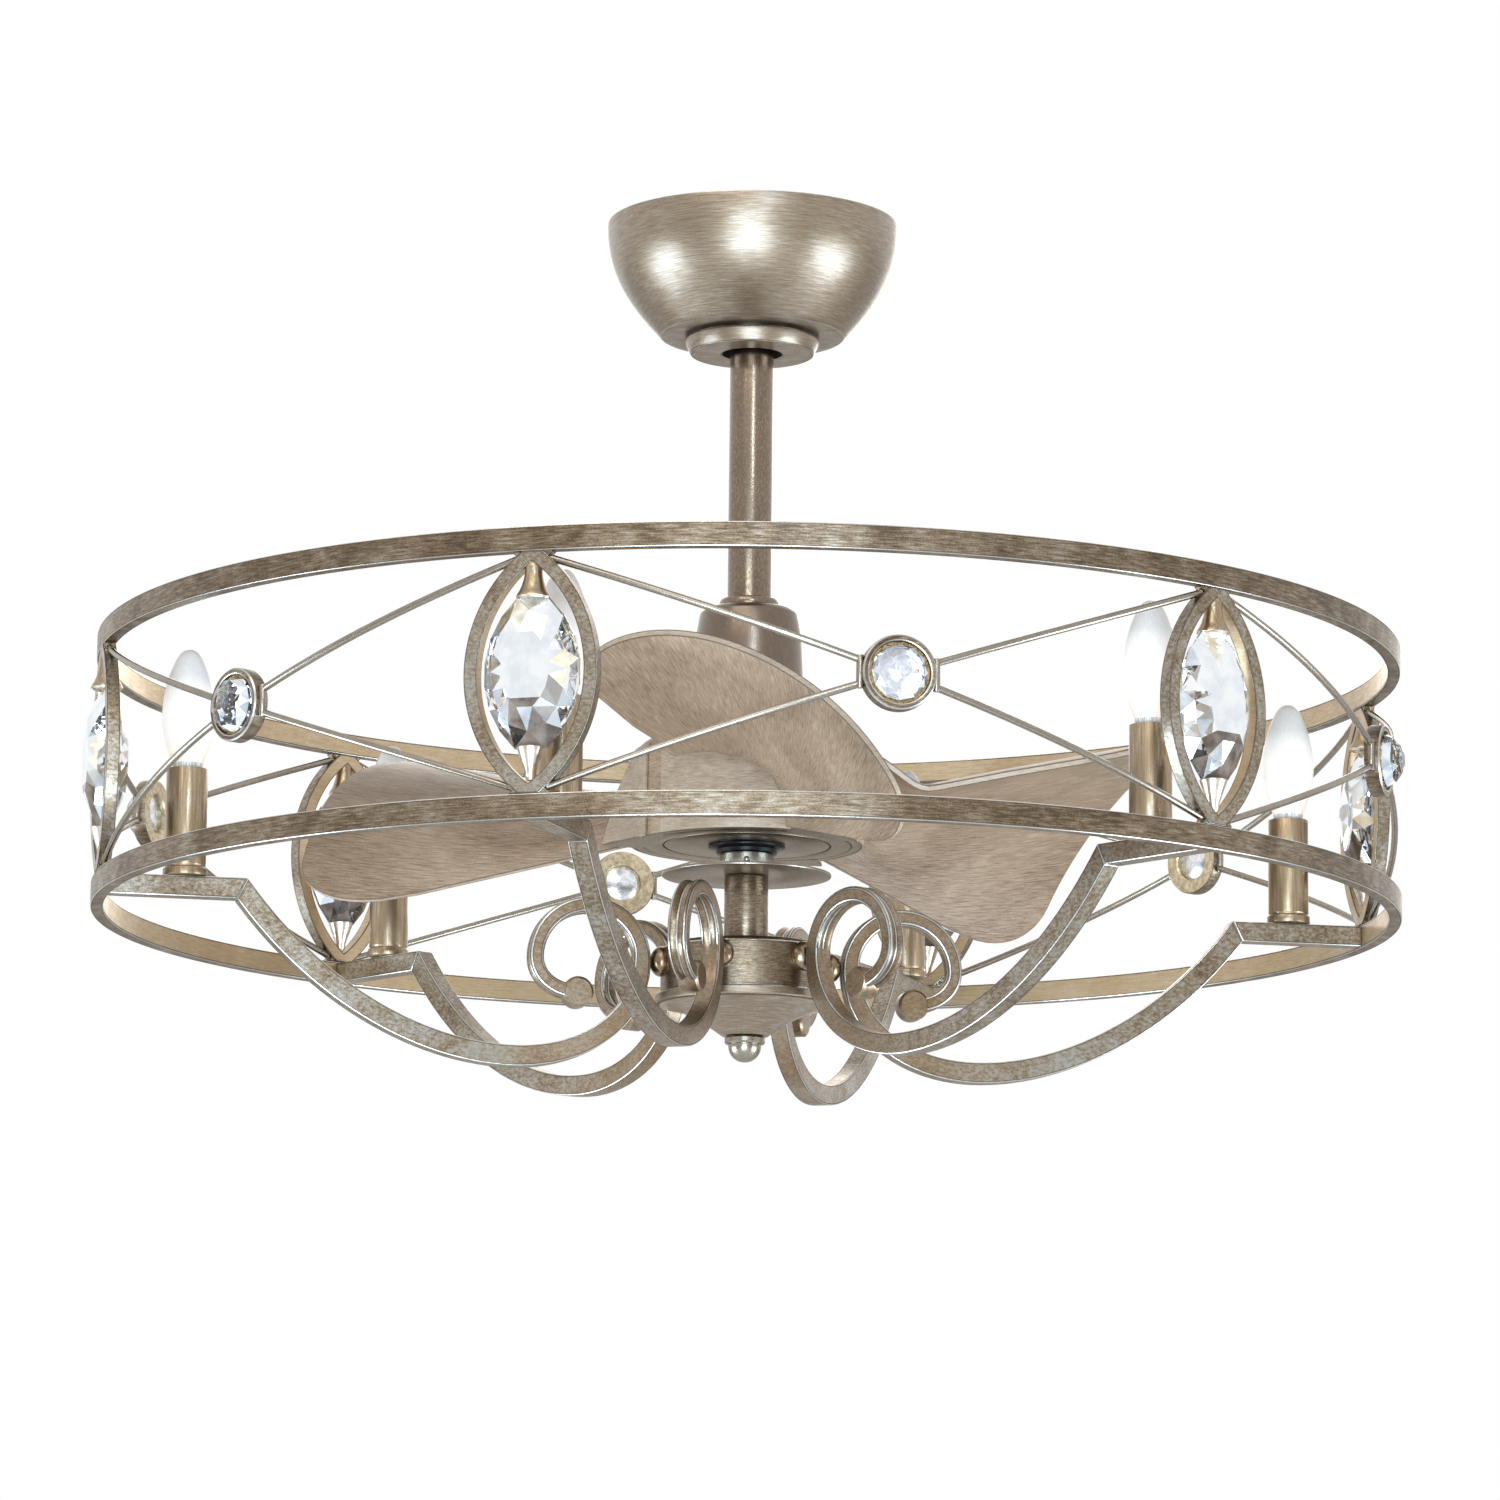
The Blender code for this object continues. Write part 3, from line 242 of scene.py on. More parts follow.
def outlined(piece, width, slot=0):
    """A thin dark line on the faces of one slot, along their border."""
    pick(piece)
    bpy.ops.object.mode_set(mode="EDIT")
    bpy.ops.mesh.select_mode(type="FACE")
    bpy.ops.mesh.select_all(action="DESELECT")
    bpy.ops.object.mode_set(mode="OBJECT")
    for face in piece.data.polygons:
        face.select = face.material_index == slot
    bpy.ops.object.mode_set(mode="EDIT")
    bpy.ops.mesh.inset(thickness=width, use_even_offset=True, use_boundary=True, use_select_inset=True)
    bpy.ops.object.mode_set(mode="OBJECT")
    for face in piece.data.polygons:
        if face.select:
            face.material_index = 2


def marked(piece, slot, chosen):
    """Gives the faces that a test picks to one material slot."""
    slotted(piece, max(3, slot + 1))
    for face in piece.data.polygons:
        if chosen(face):
            face.material_index = slot


def from_axis(face):
    """How far a face lies from the upright axis."""
    return math.hypot(face.center.x, face.center.y)


def drawn(points):
    """In edit mode: one corner drawn out into a line through points of radius and height."""
    clear()
    bpy.ops.mesh.primitive_plane_add(size=0.001, location=(points[0][0], 0.0, points[0][1]))
    settled()
    bpy.ops.object.mode_set(mode="EDIT")
    bpy.ops.mesh.select_mode(type="VERT")
    bpy.ops.mesh.select_all(action="SELECT")
    bpy.ops.mesh.merge(type="CENTER")
    for before, after in zip(points, points[1:]):
        drawn_out(after[0] - before[0], 0.0, after[1] - before[1])


def spun(name, points, steps=96, loop=True):
    """A turned piece: a drawn line spun about the upright axis."""
    drawn(list(points) + [points[0]] if loop else points)
    bpy.ops.mesh.select_all(action="SELECT")
    bpy.ops.mesh.remove_doubles(threshold=MERGE_DISTANCE)
    bpy.ops.mesh.select_all(action="SELECT")
    bpy.ops.mesh.spin(steps=steps, angle=math.tau, use_auto_merge=True, center=(0, 0, 0), axis=(0, 0, 1))
    closed()
    return named(name)


def plate(name, outline, widths):
    """A flat outline of radius and height, drawn out in steps along Y."""
    clear()
    bpy.ops.mesh.primitive_circle_add(vertices=len(outline), radius=0.1, fill_type="NGON")
    start = -sum(widths) / 2
    for corner, point in zip(bpy.context.object.data.vertices, outline):
        corner.co = (point[0], start, point[1])
    opened()
    for width in widths:
        drawn_out(0.0, width, 0.0)
    closed()
    return named(name)


def curve_points(handles, parts):
    """Even steps along a cubic curve given by four handles."""
    a, b, c, d = (Vector(handle) for handle in handles)
    points = []
    for index in range(parts + 1):
        t = index / parts
        s = 1 - t
        points.append(a * s ** 3 + b * 3 * s * s * t + c * 3 * s * t * t + d * t ** 3)
    return points


def offset_line(points, distances):
    """A line moved to its left by a distance for each point."""
    line = [Vector(point) for point in points]
    last = len(line) - 1
    moved = []
    for index, point in enumerate(line):
        after = (line[min(index + 1, last)] - line[min(index, last - 1)]).normalized()
        before = (line[max(index, 1)] - line[max(index - 1, 0)]).normalized()
        left = Vector((-after.y, after.x))
        side = (left + Vector((-before.y, before.x))).normalized()
        moved.append(point + side * (distances[index] / side.dot(left)))
    return moved


def lowered(points, height):
    return [(point[0], point[1] + height) for point in points]


def flowing(points, parts=5):
    """A smooth line through points, for turned profiles."""
    line = [Vector(point) for point in points]
    last = len(line) - 1
    result = [line[0]]
    for index in range(last):
        a = line[max(index - 1, 0)]
        b = line[index]
        c = line[index + 1]
        d = line[min(index + 2, last)]
        for step in range(1, parts + 1):
            t = step / parts
            point = b * 2 + (c - a) * t + (a * 2 - b * 5 + c * 4 - d) * t * t
            result.append((point + (b * 3 - a - c * 3 + d) * t ** 3) / 2)
    return result


def repeated(piece, stem, count=PLACES):
    """Copies of a piece at even places round the axis, each with its own mesh."""
    copies = []
    for index, name in enumerate(numbered(stem, count)):
        pick(piece)
        bpy.ops.object.duplicate(linked=False)
        bpy.context.object.rotation_euler = (0.0, 0.0, math.tau * index / count)
        copies.append(named(name))
    bpy.data.objects.remove(piece, do_unlink=True)
    return copies


def dressed(pieces, materials, stands_for=None, body="hanging"):
    """Gives pieces their materials and their body, and hides the nodes they stand for."""
    for index, piece in enumerate(pieces):
        slotted(piece, len(materials))
        for place in range(len(piece.data.materials)):
            piece.data.materials[place] = materials[min(place, len(materials) - 1)]
        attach(piece, body)
        if stands_for:
            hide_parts(stands_for[index])


# Finishes

class Finish:
    """A material in the making, with short ways to add and join its nodes."""

    def __init__(self, name):
        self.material = bpy.data.materials.new(name)
        self.material.use_nodes = True
        self.nodes = self.material.node_tree.nodes
        self.links = self.material.node_tree.links
        self.shader = self.nodes["Principled BSDF"]

    def add(self, kind, values=None, **facts):
        """A node with values on its sockets and facts on itself."""
        node = self.nodes.new(kind)
        for key, value in facts.items():
            setattr(node, key, value)
        for key, value in (values or {}).items():
            node.inputs[key].default_value = value
        return node

    def join(self, start, end):
        self.links.new(start, end)

    def feed(self, start, name):
        """A socket joined to one of the shader's own."""
        self.join(start, self.shader.inputs[name])

    def place(self, scale, layer=None):
        """The piece's own coordinates, or those of a layer on it, stretched by a scale."""
        if layer:
            where = self.add("ShaderNodeUVMap", uv_map=layer).outputs["UV"]
        else:
            where = self.add("ShaderNodeTexCoord").outputs["Object"]
        mapping = self.add("ShaderNodeMapping", {"Scale": scale})
        self.join(where, mapping.inputs["Vector"])
        return mapping.outputs["Vector"]

    def noise(self, where, scale, detail=4.0, rough=0.6, warp=0.0):
        node = self.add("ShaderNodeTexNoise", {"Scale": scale, "Detail": detail, "Roughness": rough,
                                               "Distortion": warp})
        self.join(where, node.inputs["Vector"])
        return node.outputs["Fac"]

    def ramp(self, value, stops):
        """Colours at stops along a value."""
        node = self.add("ShaderNodeValToRGB")
        marks = node.color_ramp.elements
        while len(marks) < len(stops):
            marks.new(0.5)
        for mark, (place, colour) in zip(marks, stops):
            mark.position = place
            mark.color = (*colour, 1.0)
        self.join(value, node.inputs["Fac"])
        return node.outputs["Color"]

    def blend(self, share, first, second):
        """Two colours mixed by a share, each a value or a socket."""
        node = self.add("ShaderNodeMix", data_type="RGBA")
        for value, socket in ((share, node.inputs[0]), (first, node.inputs[6]), (second, node.inputs[7])):
            if isinstance(value, (int, float)):
                socket.default_value = value
            elif isinstance(value, tuple):
                socket.default_value = (*value, 1.0)
            else:
                self.join(value, socket)
        return node.outputs[2]

    def span(self, value, low, high, start=0.0, end=1.0):
        """A value between two limits, brought to between two others."""
        node = self.add("ShaderNodeMapRange", {"From Min": low, "From Max": high, "To Min": start,
                                               "To Max": end})
        self.join(value, node.inputs["Value"])
        return node.outputs["Result"]

    def sum(self, *parts):
        """Values added up by their weights."""
        total = None
        for value, weight in parts:
            node = self.add("ShaderNodeMath", {1: weight, 2: 0.0}, operation="MULTIPLY_ADD")
            self.join(value, node.inputs[0])
            if total is not None:
                self.join(total, node.inputs[2])
            total = node.outputs[0]
        return total

    def bumped(self, value, strength, distance):
        node = self.add("ShaderNodeBump", {"Strength": strength, "Distance": distance})
        self.join(value, node.inputs["Height"])
        self.feed(node.outputs["Normal"], "Normal")

    def set(self, **values):
        """Values on the shader's own sockets."""
        for key, value in values.items():
            self.shader.inputs[key.replace("_", " ")].default_value = value


GLAZE = (0.052, 0.028, 0.012)
BRONZE = (0.140, 0.090, 0.044)
CHAMPAGNE = (0.228, 0.170, 0.106)
SILVER = (0.385, 0.375, 0.335)
# Cool near-white: mixed into the worn edges as a painted highlight, and a little into the wires.
BRIGHT = (0.80, 0.86, 0.88)
# Warm gold of the lamps' light: painted as lamplight on faces that look in towards the lamps, and a tint on
# the sleeves and upper caps.
LAMP_GOLD = (0.92, 0.68, 0.40)
EVEN = (1.0, 1.0, 1.0)


def antique_silver(name, stretch=EVEN, scale=700.0, tone=0.0, contrast=0.95, gloss=0.38, tint=BRIGHT,
                   share=0.0, coat=0.35, cloud=1.0, inner=None):
    """Silver leaf under a brown glaze and a clear lacquer: fine streaks, speckle and soft cloudy patches.

    A higher tone shows more of the glaze. With two radii, the tint fades out from the first to the second."""
    make = Finish("antique_silver_" + name)
    streaks = make.noise(make.place(stretch), scale, 3.0, 0.58)
    plain = make.place(EVEN)
    speckle = make.noise(plain, 2400.0, 2.0, 0.6)
    smudges = make.noise(plain, 160.0, 3.0, 0.60, 0.4)
    patches = make.noise(plain, 32.0, 2.0, 0.50, 0.3)
    value = make.sum((streaks, 0.66 - 0.32 * cloud), (speckle, 0.34), (smudges, 0.10 * cloud),
                     (patches, 0.22 * cloud))
    stops = [(-0.120, GLAZE), (-0.055, BRONZE), (0.010, CHAMPAGNE), (0.110, SILVER)]
    base = make.ramp(value, [(0.5 + tone + place / contrast, colour) for place, colour in stops])
    if inner:
        length = make.add("ShaderNodeVectorMath", operation="LENGTH")
        make.join(make.place((1.0, 1.0, 0.0)), length.inputs[0])
        share = make.span(length.outputs["Value"], inner[0], inner[1], share, 0.0)
    make.feed(make.blend(share, base, tint), "Base Color")
    make.feed(make.span(value, 0.40, 0.60, gloss + 0.08, gloss - 0.05), "Roughness")
    make.bumped(streaks, 0.10, FINE_RELIEF)
    make.set(Metallic=1.0, Coat_Weight=coat, Coat_Roughness=0.28, Coat_IOR=1.9)
    return make.material


def grained(name, layer=None, light=0.0):
    """Greige wood-like finish with fine fibres that follow the surface, limed by a share."""
    make = Finish("greige_grain_" + name)
    along = (2500.0, 70.0, 1.0) if layer else (160.0, 160.0, 1500.0)
    drift = (34.0, 11.0, 1.0) if layer else (14.0, 14.0, 40.0)
    fibres = make.noise(make.place(along, layer), 1.0, 4.0, 0.62, 0.6)
    cloud = make.noise(make.place(drift, layer), 1.0, 3.0, 0.55, 0.8)
    pores = make.noise(make.place(EVEN), 2200.0, 2.0, 0.6)
    value = make.sum((fibres, 0.50), (cloud, 0.26), (pores, 0.24))
    grain = make.ramp(value, [(0.38, (0.105, 0.058, 0.030)), (0.46, (0.235, 0.156, 0.096)),
                              (0.54, (0.335, 0.233, 0.153)), (0.64, (0.480, 0.370, 0.265))])
    make.feed(make.blend(light, grain, (0.72, 0.63, 0.50)), "Base Color")
    make.feed(make.span(fibres, 0.3, 0.7, 0.46, 0.34), "Roughness")
    make.bumped(fibres, 0.16, FINE_RELIEF)
    return make.material


def plain_finish(name, low, high, rough, metallic, scale=180.0):
    """Paint or bare metal with a fine uneven tone."""
    make = Finish(name)
    value = make.noise(make.place(EVEN), scale, 4.0, 0.6)
    make.feed(make.ramp(value, [(0.35, low), (0.65, high)]), "Base Color")
    make.feed(make.span(value, 0.3, 0.7, rough + 0.08, rough - 0.05), "Roughness")
    make.bumped(value, 0.1, FINE_RELIEF)
    make.set(Metallic=metallic)
    return make.material


def cut_crystal(name, low, high, clear, rough, metallic=0.0):
    """Cut glass, from clear to opaque, with a faint cloud in its tone; the opaque and mirror-like kinds paint
    glints, reflections and shade onto facets.
    """
    make = Finish("cut_crystal_" + name)
    value = make.noise(make.place(EVEN), 90.0, 3.0, 0.5)
    make.feed(make.ramp(value, [(0.38, low), (0.62, high)]), "Base Color")
    make.set(Roughness=rough, IOR=1.58, Metallic=metallic, Transmission_Weight=clear)
    return make.material


def lamp_glass(name, stops, low, high, strength):
    """Frosted glass with a soft glow, whose colour goes by stops from the sleeve to the lamp's tip."""
    make = Finish(name)
    split = make.add("ShaderNodeSeparateXYZ")
    make.join(make.place(EVEN), split.inputs["Vector"])
    height = make.span(split.outputs["Z"], SLEEVE_FOOT + SLEEVE_HEIGHT, LAMP_TIP)
    frost = make.noise(make.place((1.0, 1.0, 0.12)), 900.0, 2.0, 0.5)
    make.feed(make.ramp(frost, [(0.35, low), (0.65, high)]), "Base Color")
    make.feed(make.ramp(height, stops), "Emission Color")
    make.set(Roughness=0.34, Emission_Strength=strength)
    make.bumped(frost, 0.05, 0.0001)
    return make.material


SILVER_TURNED = antique_silver("turned", (0.22, 0.22, 4.0), 420.0, contrast=0.60, gloss=0.41,
                               tint=(0.340, 0.225, 0.120), share=0.18, coat=0.8, cloud=0.15)
SILVER_TUBE = antique_silver("tube", (3.0, 3.0, 1.0), 420.0, tone=0.090, contrast=0.85, gloss=0.21,
                             tint=(0.230, 0.140, 0.062), share=0.30, coat=0.8, cloud=0.3)
SILVER_CUP = antique_silver("cup", (3.0, 3.0, 1.0), 420.0, tone=0.165, contrast=0.75, gloss=0.30,
                            tint=(0.200, 0.120, 0.052), share=0.30, coat=0.8, cloud=0.3)
SILVER_STEM = antique_silver("stem", (0.5, 0.5, 4.0), 420.0, tone=0.010, contrast=0.70, gloss=0.32,
                             coat=0.3, cloud=0.4)
SILVER_BAR = antique_silver("bar", (0.14, 0.14, 1.6), tone=0.040, contrast=1.15, gloss=0.42)
# Arms browner and darker towards the hub, fading out by 0.2 m from the axis: painted shade round the hub.
SILVER_ARM = antique_silver("arm", (0.5, 0.5, 0.8), tone=-0.020, contrast=1.15, gloss=0.34,
                            tint=(0.250, 0.150, 0.065), share=0.55, inner=(0.090, 0.200))
SILVER_WIRE = antique_silver("wire", contrast=0.5, gloss=0.26, share=0.12)
SILVER_SCROLL = antique_silver("scroll", tone=0.040, contrast=0.90, gloss=0.24, tint=(0.36, 0.22, 0.10),
                               share=0.25, coat=0.4)
# Warm gold painted on the faces that look in towards the lamps: painted lamplight.
SILVER_PAINTED_LAMPLIGHT = antique_silver("painted_lamplight", (0.14, 0.14, 1.6), contrast=1.1, tint=LAMP_GOLD, share=0.42)
# Worn edges lighter and cooler than the flats: partly wear, partly a painted highlight.
SILVER_WEAR_AND_PAINTED_HIGHLIGHT = antique_silver("edge", tone=-0.02, gloss=0.28, share=0.38)
SILVER_LINE = antique_silver("line", tone=0.04, gloss=0.46, tint=(0.060, 0.038, 0.020), share=0.50, coat=0.0)
SILVER_SLEEVE = antique_silver("sleeve", (2.4, 2.4, 0.10), 420.0, tone=0.020, contrast=0.80, gloss=0.32,
                               tint=LAMP_GOLD, share=0.18, cloud=0.4)
SILVER_PLATE = antique_silver("plate", (0.8, 0.8, 0.8), tone=-0.05, contrast=0.35, gloss=0.36, coat=0.3)
GOLDEN = plain_finish("gilded_recess", (0.40, 0.31, 0.19), (0.74, 0.63, 0.45), 0.32, 1.0, 340.0)
DARK_GAP = plain_finish("bronze_gap", (0.055, 0.036, 0.020), (0.52, 0.36, 0.16), 0.34, 1.0, 900.0)
CAP_PALE = plain_finish("pale_cap", (0.52, 0.43, 0.33), (0.86, 0.80, 0.72), 0.30, 1.0, 260.0)
FOIL = plain_finish("stone_foil", (0.66, 0.69, 0.74), (0.93, 0.95, 0.98), 0.22, 1.0, 420.0)
CRYSTAL = cut_crystal("clear", (0.96, 0.97, 1.0), (1.0, 1.0, 1.0), 1.0, 0.0)
# The crystals are clear glass; the kinds below paint glints, reflections and shade onto single facets.
CRYSTAL_PAINTED_GLINT = cut_crystal("painted_glint", (0.78, 0.83, 0.87), (0.92, 0.945, 0.97), 0.0, 0.05, 1.0)
CRYSTAL_PAINTED_SHADE = cut_crystal("painted_shade", (0.075, 0.052, 0.038), (0.20, 0.155, 0.125), 0.0, 0.10)
CRYSTAL_PAINTED_UMBER_REFLECTION = cut_crystal("painted_umber_reflection", (0.56, 0.54, 0.52), (0.76, 0.74, 0.72), 0.0, 0.08)
CRYSTAL_PAINTED_WARM_GLINT = cut_crystal("painted_warm_glint", (0.72, 0.55, 0.34), (0.95, 0.86, 0.72), 0.25, 0.05)
CRYSTAL_PAINTED_GREY_REFLECTION = cut_crystal("painted_grey_reflection", (0.52, 0.54, 0.58), (0.76, 0.79, 0.84), 0.0, 0.06, 0.7)
GLOW = [(0.0, (0.44, 0.27, 0.14)), (0.12, (0.46, 0.35, 0.24)), (0.24, (0.45, 0.41, 0.36)),
        (0.50, (0.43, 0.42, 0.40)), (0.66, (0.28, 0.27, 0.26)), (0.76, (0.11, 0.11, 0.11)),
        (1.0, (0.06, 0.06, 0.06))]
NECK_GLOW = [(0.0, (0.25, 0.22, 0.18)), (1.0, (0.25, 0.22, 0.18))]
LAMP = lamp_glass("lit_frosted_glass", GLOW, (0.56, 0.54, 0.52), (0.61, 0.59, 0.57), 1.0)
LAMP_NECK = lamp_glass("clear_lamp_neck", NECK_GLOW, (0.30, 0.29, 0.27), (0.72, 0.72, 0.71), 0.5)
BLACK = plain_finish("black_moulding", (0.006, 0.006, 0.007), (0.015, 0.015, 0.016), 0.30, 0.0)
BLACK.node_tree.nodes["Principled BSDF"].inputs["Specular IOR Level"].default_value = 0.25
IRON = plain_finish("dark_painted_iron", (0.05, 0.05, 0.052), (0.11, 0.11, 0.115), 0.5, 0.7)
COPPER = plain_finish("wound_copper", (0.20, 0.07, 0.03), (0.50, 0.22, 0.10), 0.4, 0.9, 500.0)
STEEL = plain_finish("ground_steel", (0.42, 0.42, 0.43), (0.60, 0.60, 0.61), 0.28, 1.0, 300.0)
BLADE_GRAIN = grained("blade", "grain")
BLADE_RIM = grained("rim", light=0.24)
BLADE_LINE = plain_finish("greige_dark_line", (0.085, 0.055, 0.035), (0.16, 0.11, 0.075), 0.5, 0.0, 600.0)
HOUSING_GRAIN = grained("housing")
SKIRT_GRAIN = grained("skirt", light=0.16)


# Pieces at the ceiling

def make_canopy():
    wall = 0.0016
    outer = curve_points(((0.0906, 0.0), (0.0906, -0.028), (0.080, -0.047), (0.057, -0.071)), 28)
    outer.append(Vector((0.032, -0.071)))
    inner = offset_line(outer, [-wall] * len(outer))
    inner[0].y = 0.0
    canopy = spun("bell_canopy", outer + inner[::-1], 144)
    softened(canopy, 0.0006, 40.0, 1)
    # The canopy's top rim takes the worn-edge finish with its painted highlight.
    marked(canopy, 1, lambda face: face.center.z > -wall and from_axis(face) > 0.0895)
    dressed([canopy], [SILVER_TURNED, SILVER_WEAR_AND_PAINTED_HIGHLIGHT], ["canopy"], "ceiling_side")
    neck = -0.067
    top = -0.0727
    low = top - 0.0095
    trim = spun("canopy_trim_plate", [(0.0317, neck), (0.0317, top), (0.0416, top), (0.0416, top - 0.0022),
                                      (0.0382, low), (0.0188, low), (0.0188, neck)], 120)
    softened(trim, 0.0005, 30.0, 1)
    outlined(trim, 0.0005)
    dressed([trim], [SILVER_TURNED, SILVER_WEAR_AND_PAINTED_HIGHLIGHT, SILVER_LINE], ["canopy_trim"], "ceiling_side")


def make_rod():
    high = -0.020
    low = -0.2947
    rod = spun("hanging_rod", [(0.0136, high), (0.0136, low), (0.0113, low), (0.0113, high)], 64)
    softened(rod, 0.0005)
    dressed([rod], [SILVER_TUBE], ["downrod"])
    cup_top = -0.2432
    shape = [(0.0207, 0.0), (0.0265, -0.0008), (0.0297, -0.0030), (0.0309, -0.0062), (0.0330, -0.0198),
             (0.0340, -0.0368), (0.0360, -0.0768)]
    outer = lowered(flowing(shape, 4), cup_top)
    inner = offset_line(outer, [-0.0012] * len(outer))
    cup = spun("coupling_cup", outer + inner[::-1], 96)
    softened(cup, 0.0003, 50.0)
    dressed([cup], [SILVER_CUP], ["coupling_cover"])
    collar = spun("rod_collar", [(0.0139, -0.2370), (0.0178, -0.2380), (0.0186, -0.2400), (0.0186, -0.2428),
                                 (0.0139, -0.2428)], 64)
    softened(collar, 0.0004)
    dressed([collar], [SILVER_TUBE])


# Motor and blades

def housing_line(gap=0.0):
    """Outer profile of the turning housing, moved out by a gap."""
    outer = [(0.054, 0.0), (0.0615, -0.0018), (0.0665, -0.0055), (0.0692, -0.0105), (0.0700, -0.0180),
             (0.0703, -0.0654)]
    line = lowered(flowing(outer, 4), HOUSING_TOP)
    line = offset_line(line, [gap] * len(line))
    line[-1].y = HOUSING_LOW
    return line


def make_motor():
    low = HOUSING_LOW
    inside = HOUSING_TOP - 0.006
    profile = [(0.0155, HOUSING_TOP)] + housing_line()
    profile += [(0.0643, low), (0.0643, low + 0.0037), (0.0495, low + 0.0037), (0.0495, inside),
                (0.0155, inside)]
    shell = spun("motor_housing", profile, 144)
    softened(shell, 0.0007, 40.0)
    marked(shell, 1, lambda face: face.normal.z < -0.9 and face.center.z < low + 0.0005)
    outlined(shell, 0.0004)
    marked(shell, 0, lambda face: face.center.z > low + 0.001)
    dressed([shell], [HOUSING_GRAIN, SILVER_PLATE, SILVER_LINE], ["rotor_shell"], "rotor")
    groove = low + 0.0008
    inside = low + 0.0034
    profile = [(0.064, inside), (0.064, low), (0.0518, low), (0.0518, groove), (0.0506, groove),
               (0.0506, low), (0.0262, low), (0.0155, low + 0.0004), (0.0155, low + 0.0084),
               (0.019, low + 0.0084), (0.019, inside)]
    base = spun("housing_base_plate", profile, 128)
    softened(base, 0.0003, 40.0)
    marked(base, 2, lambda face: face.center.z > low + 0.0002 and 0.050 < from_axis(face) < 0.0524)
    marked(base, 2, lambda face: from_axis(face) > 0.0634)
    dressed([base], [SILVER_PLATE, SILVER_WEAR_AND_PAINTED_HIGHLIGHT, SILVER_LINE], ["rotor_base"], "rotor")


def blade_section(share):
    """Angle and slope of the blade at a share of the way from its upper to its lower edge."""
    start = Vector((math.radians(-7.2), 0.199))
    end = Vector((math.radians(38.6), -0.212))
    chord = end - start
    side = Vector((-chord.y, chord.x))
    camber = math.radians(44.7)
    turned = camber * (2 * share - 1)
    along = 0.5 + math.sin(turned) / (2 * math.sin(camber))
    rise = (math.cos(turned) - math.cos(camber)) / (2 * math.sin(camber))
    return start + chord * along + side * rise


def blade_reach(share):
    """Radius of the blade's end, with a long round corner above and a short one below."""
    upper = 0.40
    lower = 0.845
    corner = 0.0
    setback = 0.0
    if share < upper:
        corner = 1 - share / upper
        setback = 0.068
    if share > lower:
        corner = (share - lower) / (1 - lower)
        setback = 0.077
    return BLADE_TIP - setback * (1 - math.sqrt(max(0.0, 1 - corner * corner)))


def eased(value):
    """A value kept between 0 and 1, with a soft start and end."""
    value = min(1.0, max(0.0, value))
    return value * value * (3 - 2 * value)


def blade_point(share, along):
    """A point of the blade's middle sheet, which sweeps up and back at its root to wrap the housing."""
    angle, slope = blade_section(share)
    reach = BLADE_START + (blade_reach(share) - BLADE_START) * along
    inward = max(0.0, (0.160 - reach) / 0.100)
    angle += inward * math.radians(6.0) * (1 - share)
    height = reach * slope + BLADE_LEVEL
    root = eased((0.116 - reach) / 0.0455) * eased((1 - share) / 0.25)
    angle += root * (math.radians(-25.0 + 67.0 * share) - angle)
    height += root * (-0.3350 - 0.0125 * share - 0.022 * share ** 5 - height)
    return Vector((reach * math.sin(angle), -reach * math.cos(angle), height))


def make_skirt():
    """Band that a blade's root wraps round the housing."""
    outer = [point for point in housing_line(0.0015) if point.y < SKIRT_TOP]
    inner = [point for point in housing_line(0.0003) if point.y < SKIRT_TOP]
    outer.insert(0, Vector((0.0696, SKIRT_TOP)))
    inner.insert(0, Vector((0.0684, SKIRT_TOP)))
    band = spun("blade_skirt", outer + inner[::-1], 144)
    ahead = Vector((math.cos(PHOTO_TURN), math.sin(PHOTO_TURN), 0.0))
    end = math.radians(78.0)
    behind = Vector((math.cos(end), math.sin(end), 0.0))
    pick(band)
    opened()
    bpy.ops.mesh.bisect(plane_co=ahead * -0.0532, plane_no=ahead, clear_inner=True, use_fill=True)
    bpy.ops.mesh.select_all(action="SELECT")
    bpy.ops.mesh.bisect(plane_co=(0.0, 0.0, 0.0), plane_no=behind, clear_outer=True, use_fill=True)
    closed()
    softened(band, 0.0004, 40.0, 2)
    return band


def make_heel():
    """Flared heel under a blade's lower edge, flat below."""
    low = HOUSING_LOW - 0.0002
    corners = [(0.0898, 46.0, low), (0.0710, 92.0, low), (0.0660, 36.0, low), (0.0660, 55.0, low),
               (0.0660, 74.0, low), (0.0660, 90.0, low),
               (0.0801, 46.0, -0.3565), (0.0706, 46.0, SKIRT_TOP), (0.0650, 55.0, SKIRT_TOP)]
    clear()
    bpy.ops.mesh.primitive_circle_add(vertices=len(corners), radius=0.1)
    heel = bpy.context.object
    for corner, (reach, angle, height) in zip(heel.data.vertices, corners):
        turned = math.radians(angle)
        corner.co = (reach * math.sin(turned), -reach * math.cos(turned), height)
    opened()
    bpy.ops.mesh.convex_hull()
    closed()
    heel = named("blade_heel")
    softened(heel, 0.0008, 12.0, 2)
    marked(heel, 1, lambda face: face.normal.z < -0.95 and face.center.z < low + 0.0003)
    return heel


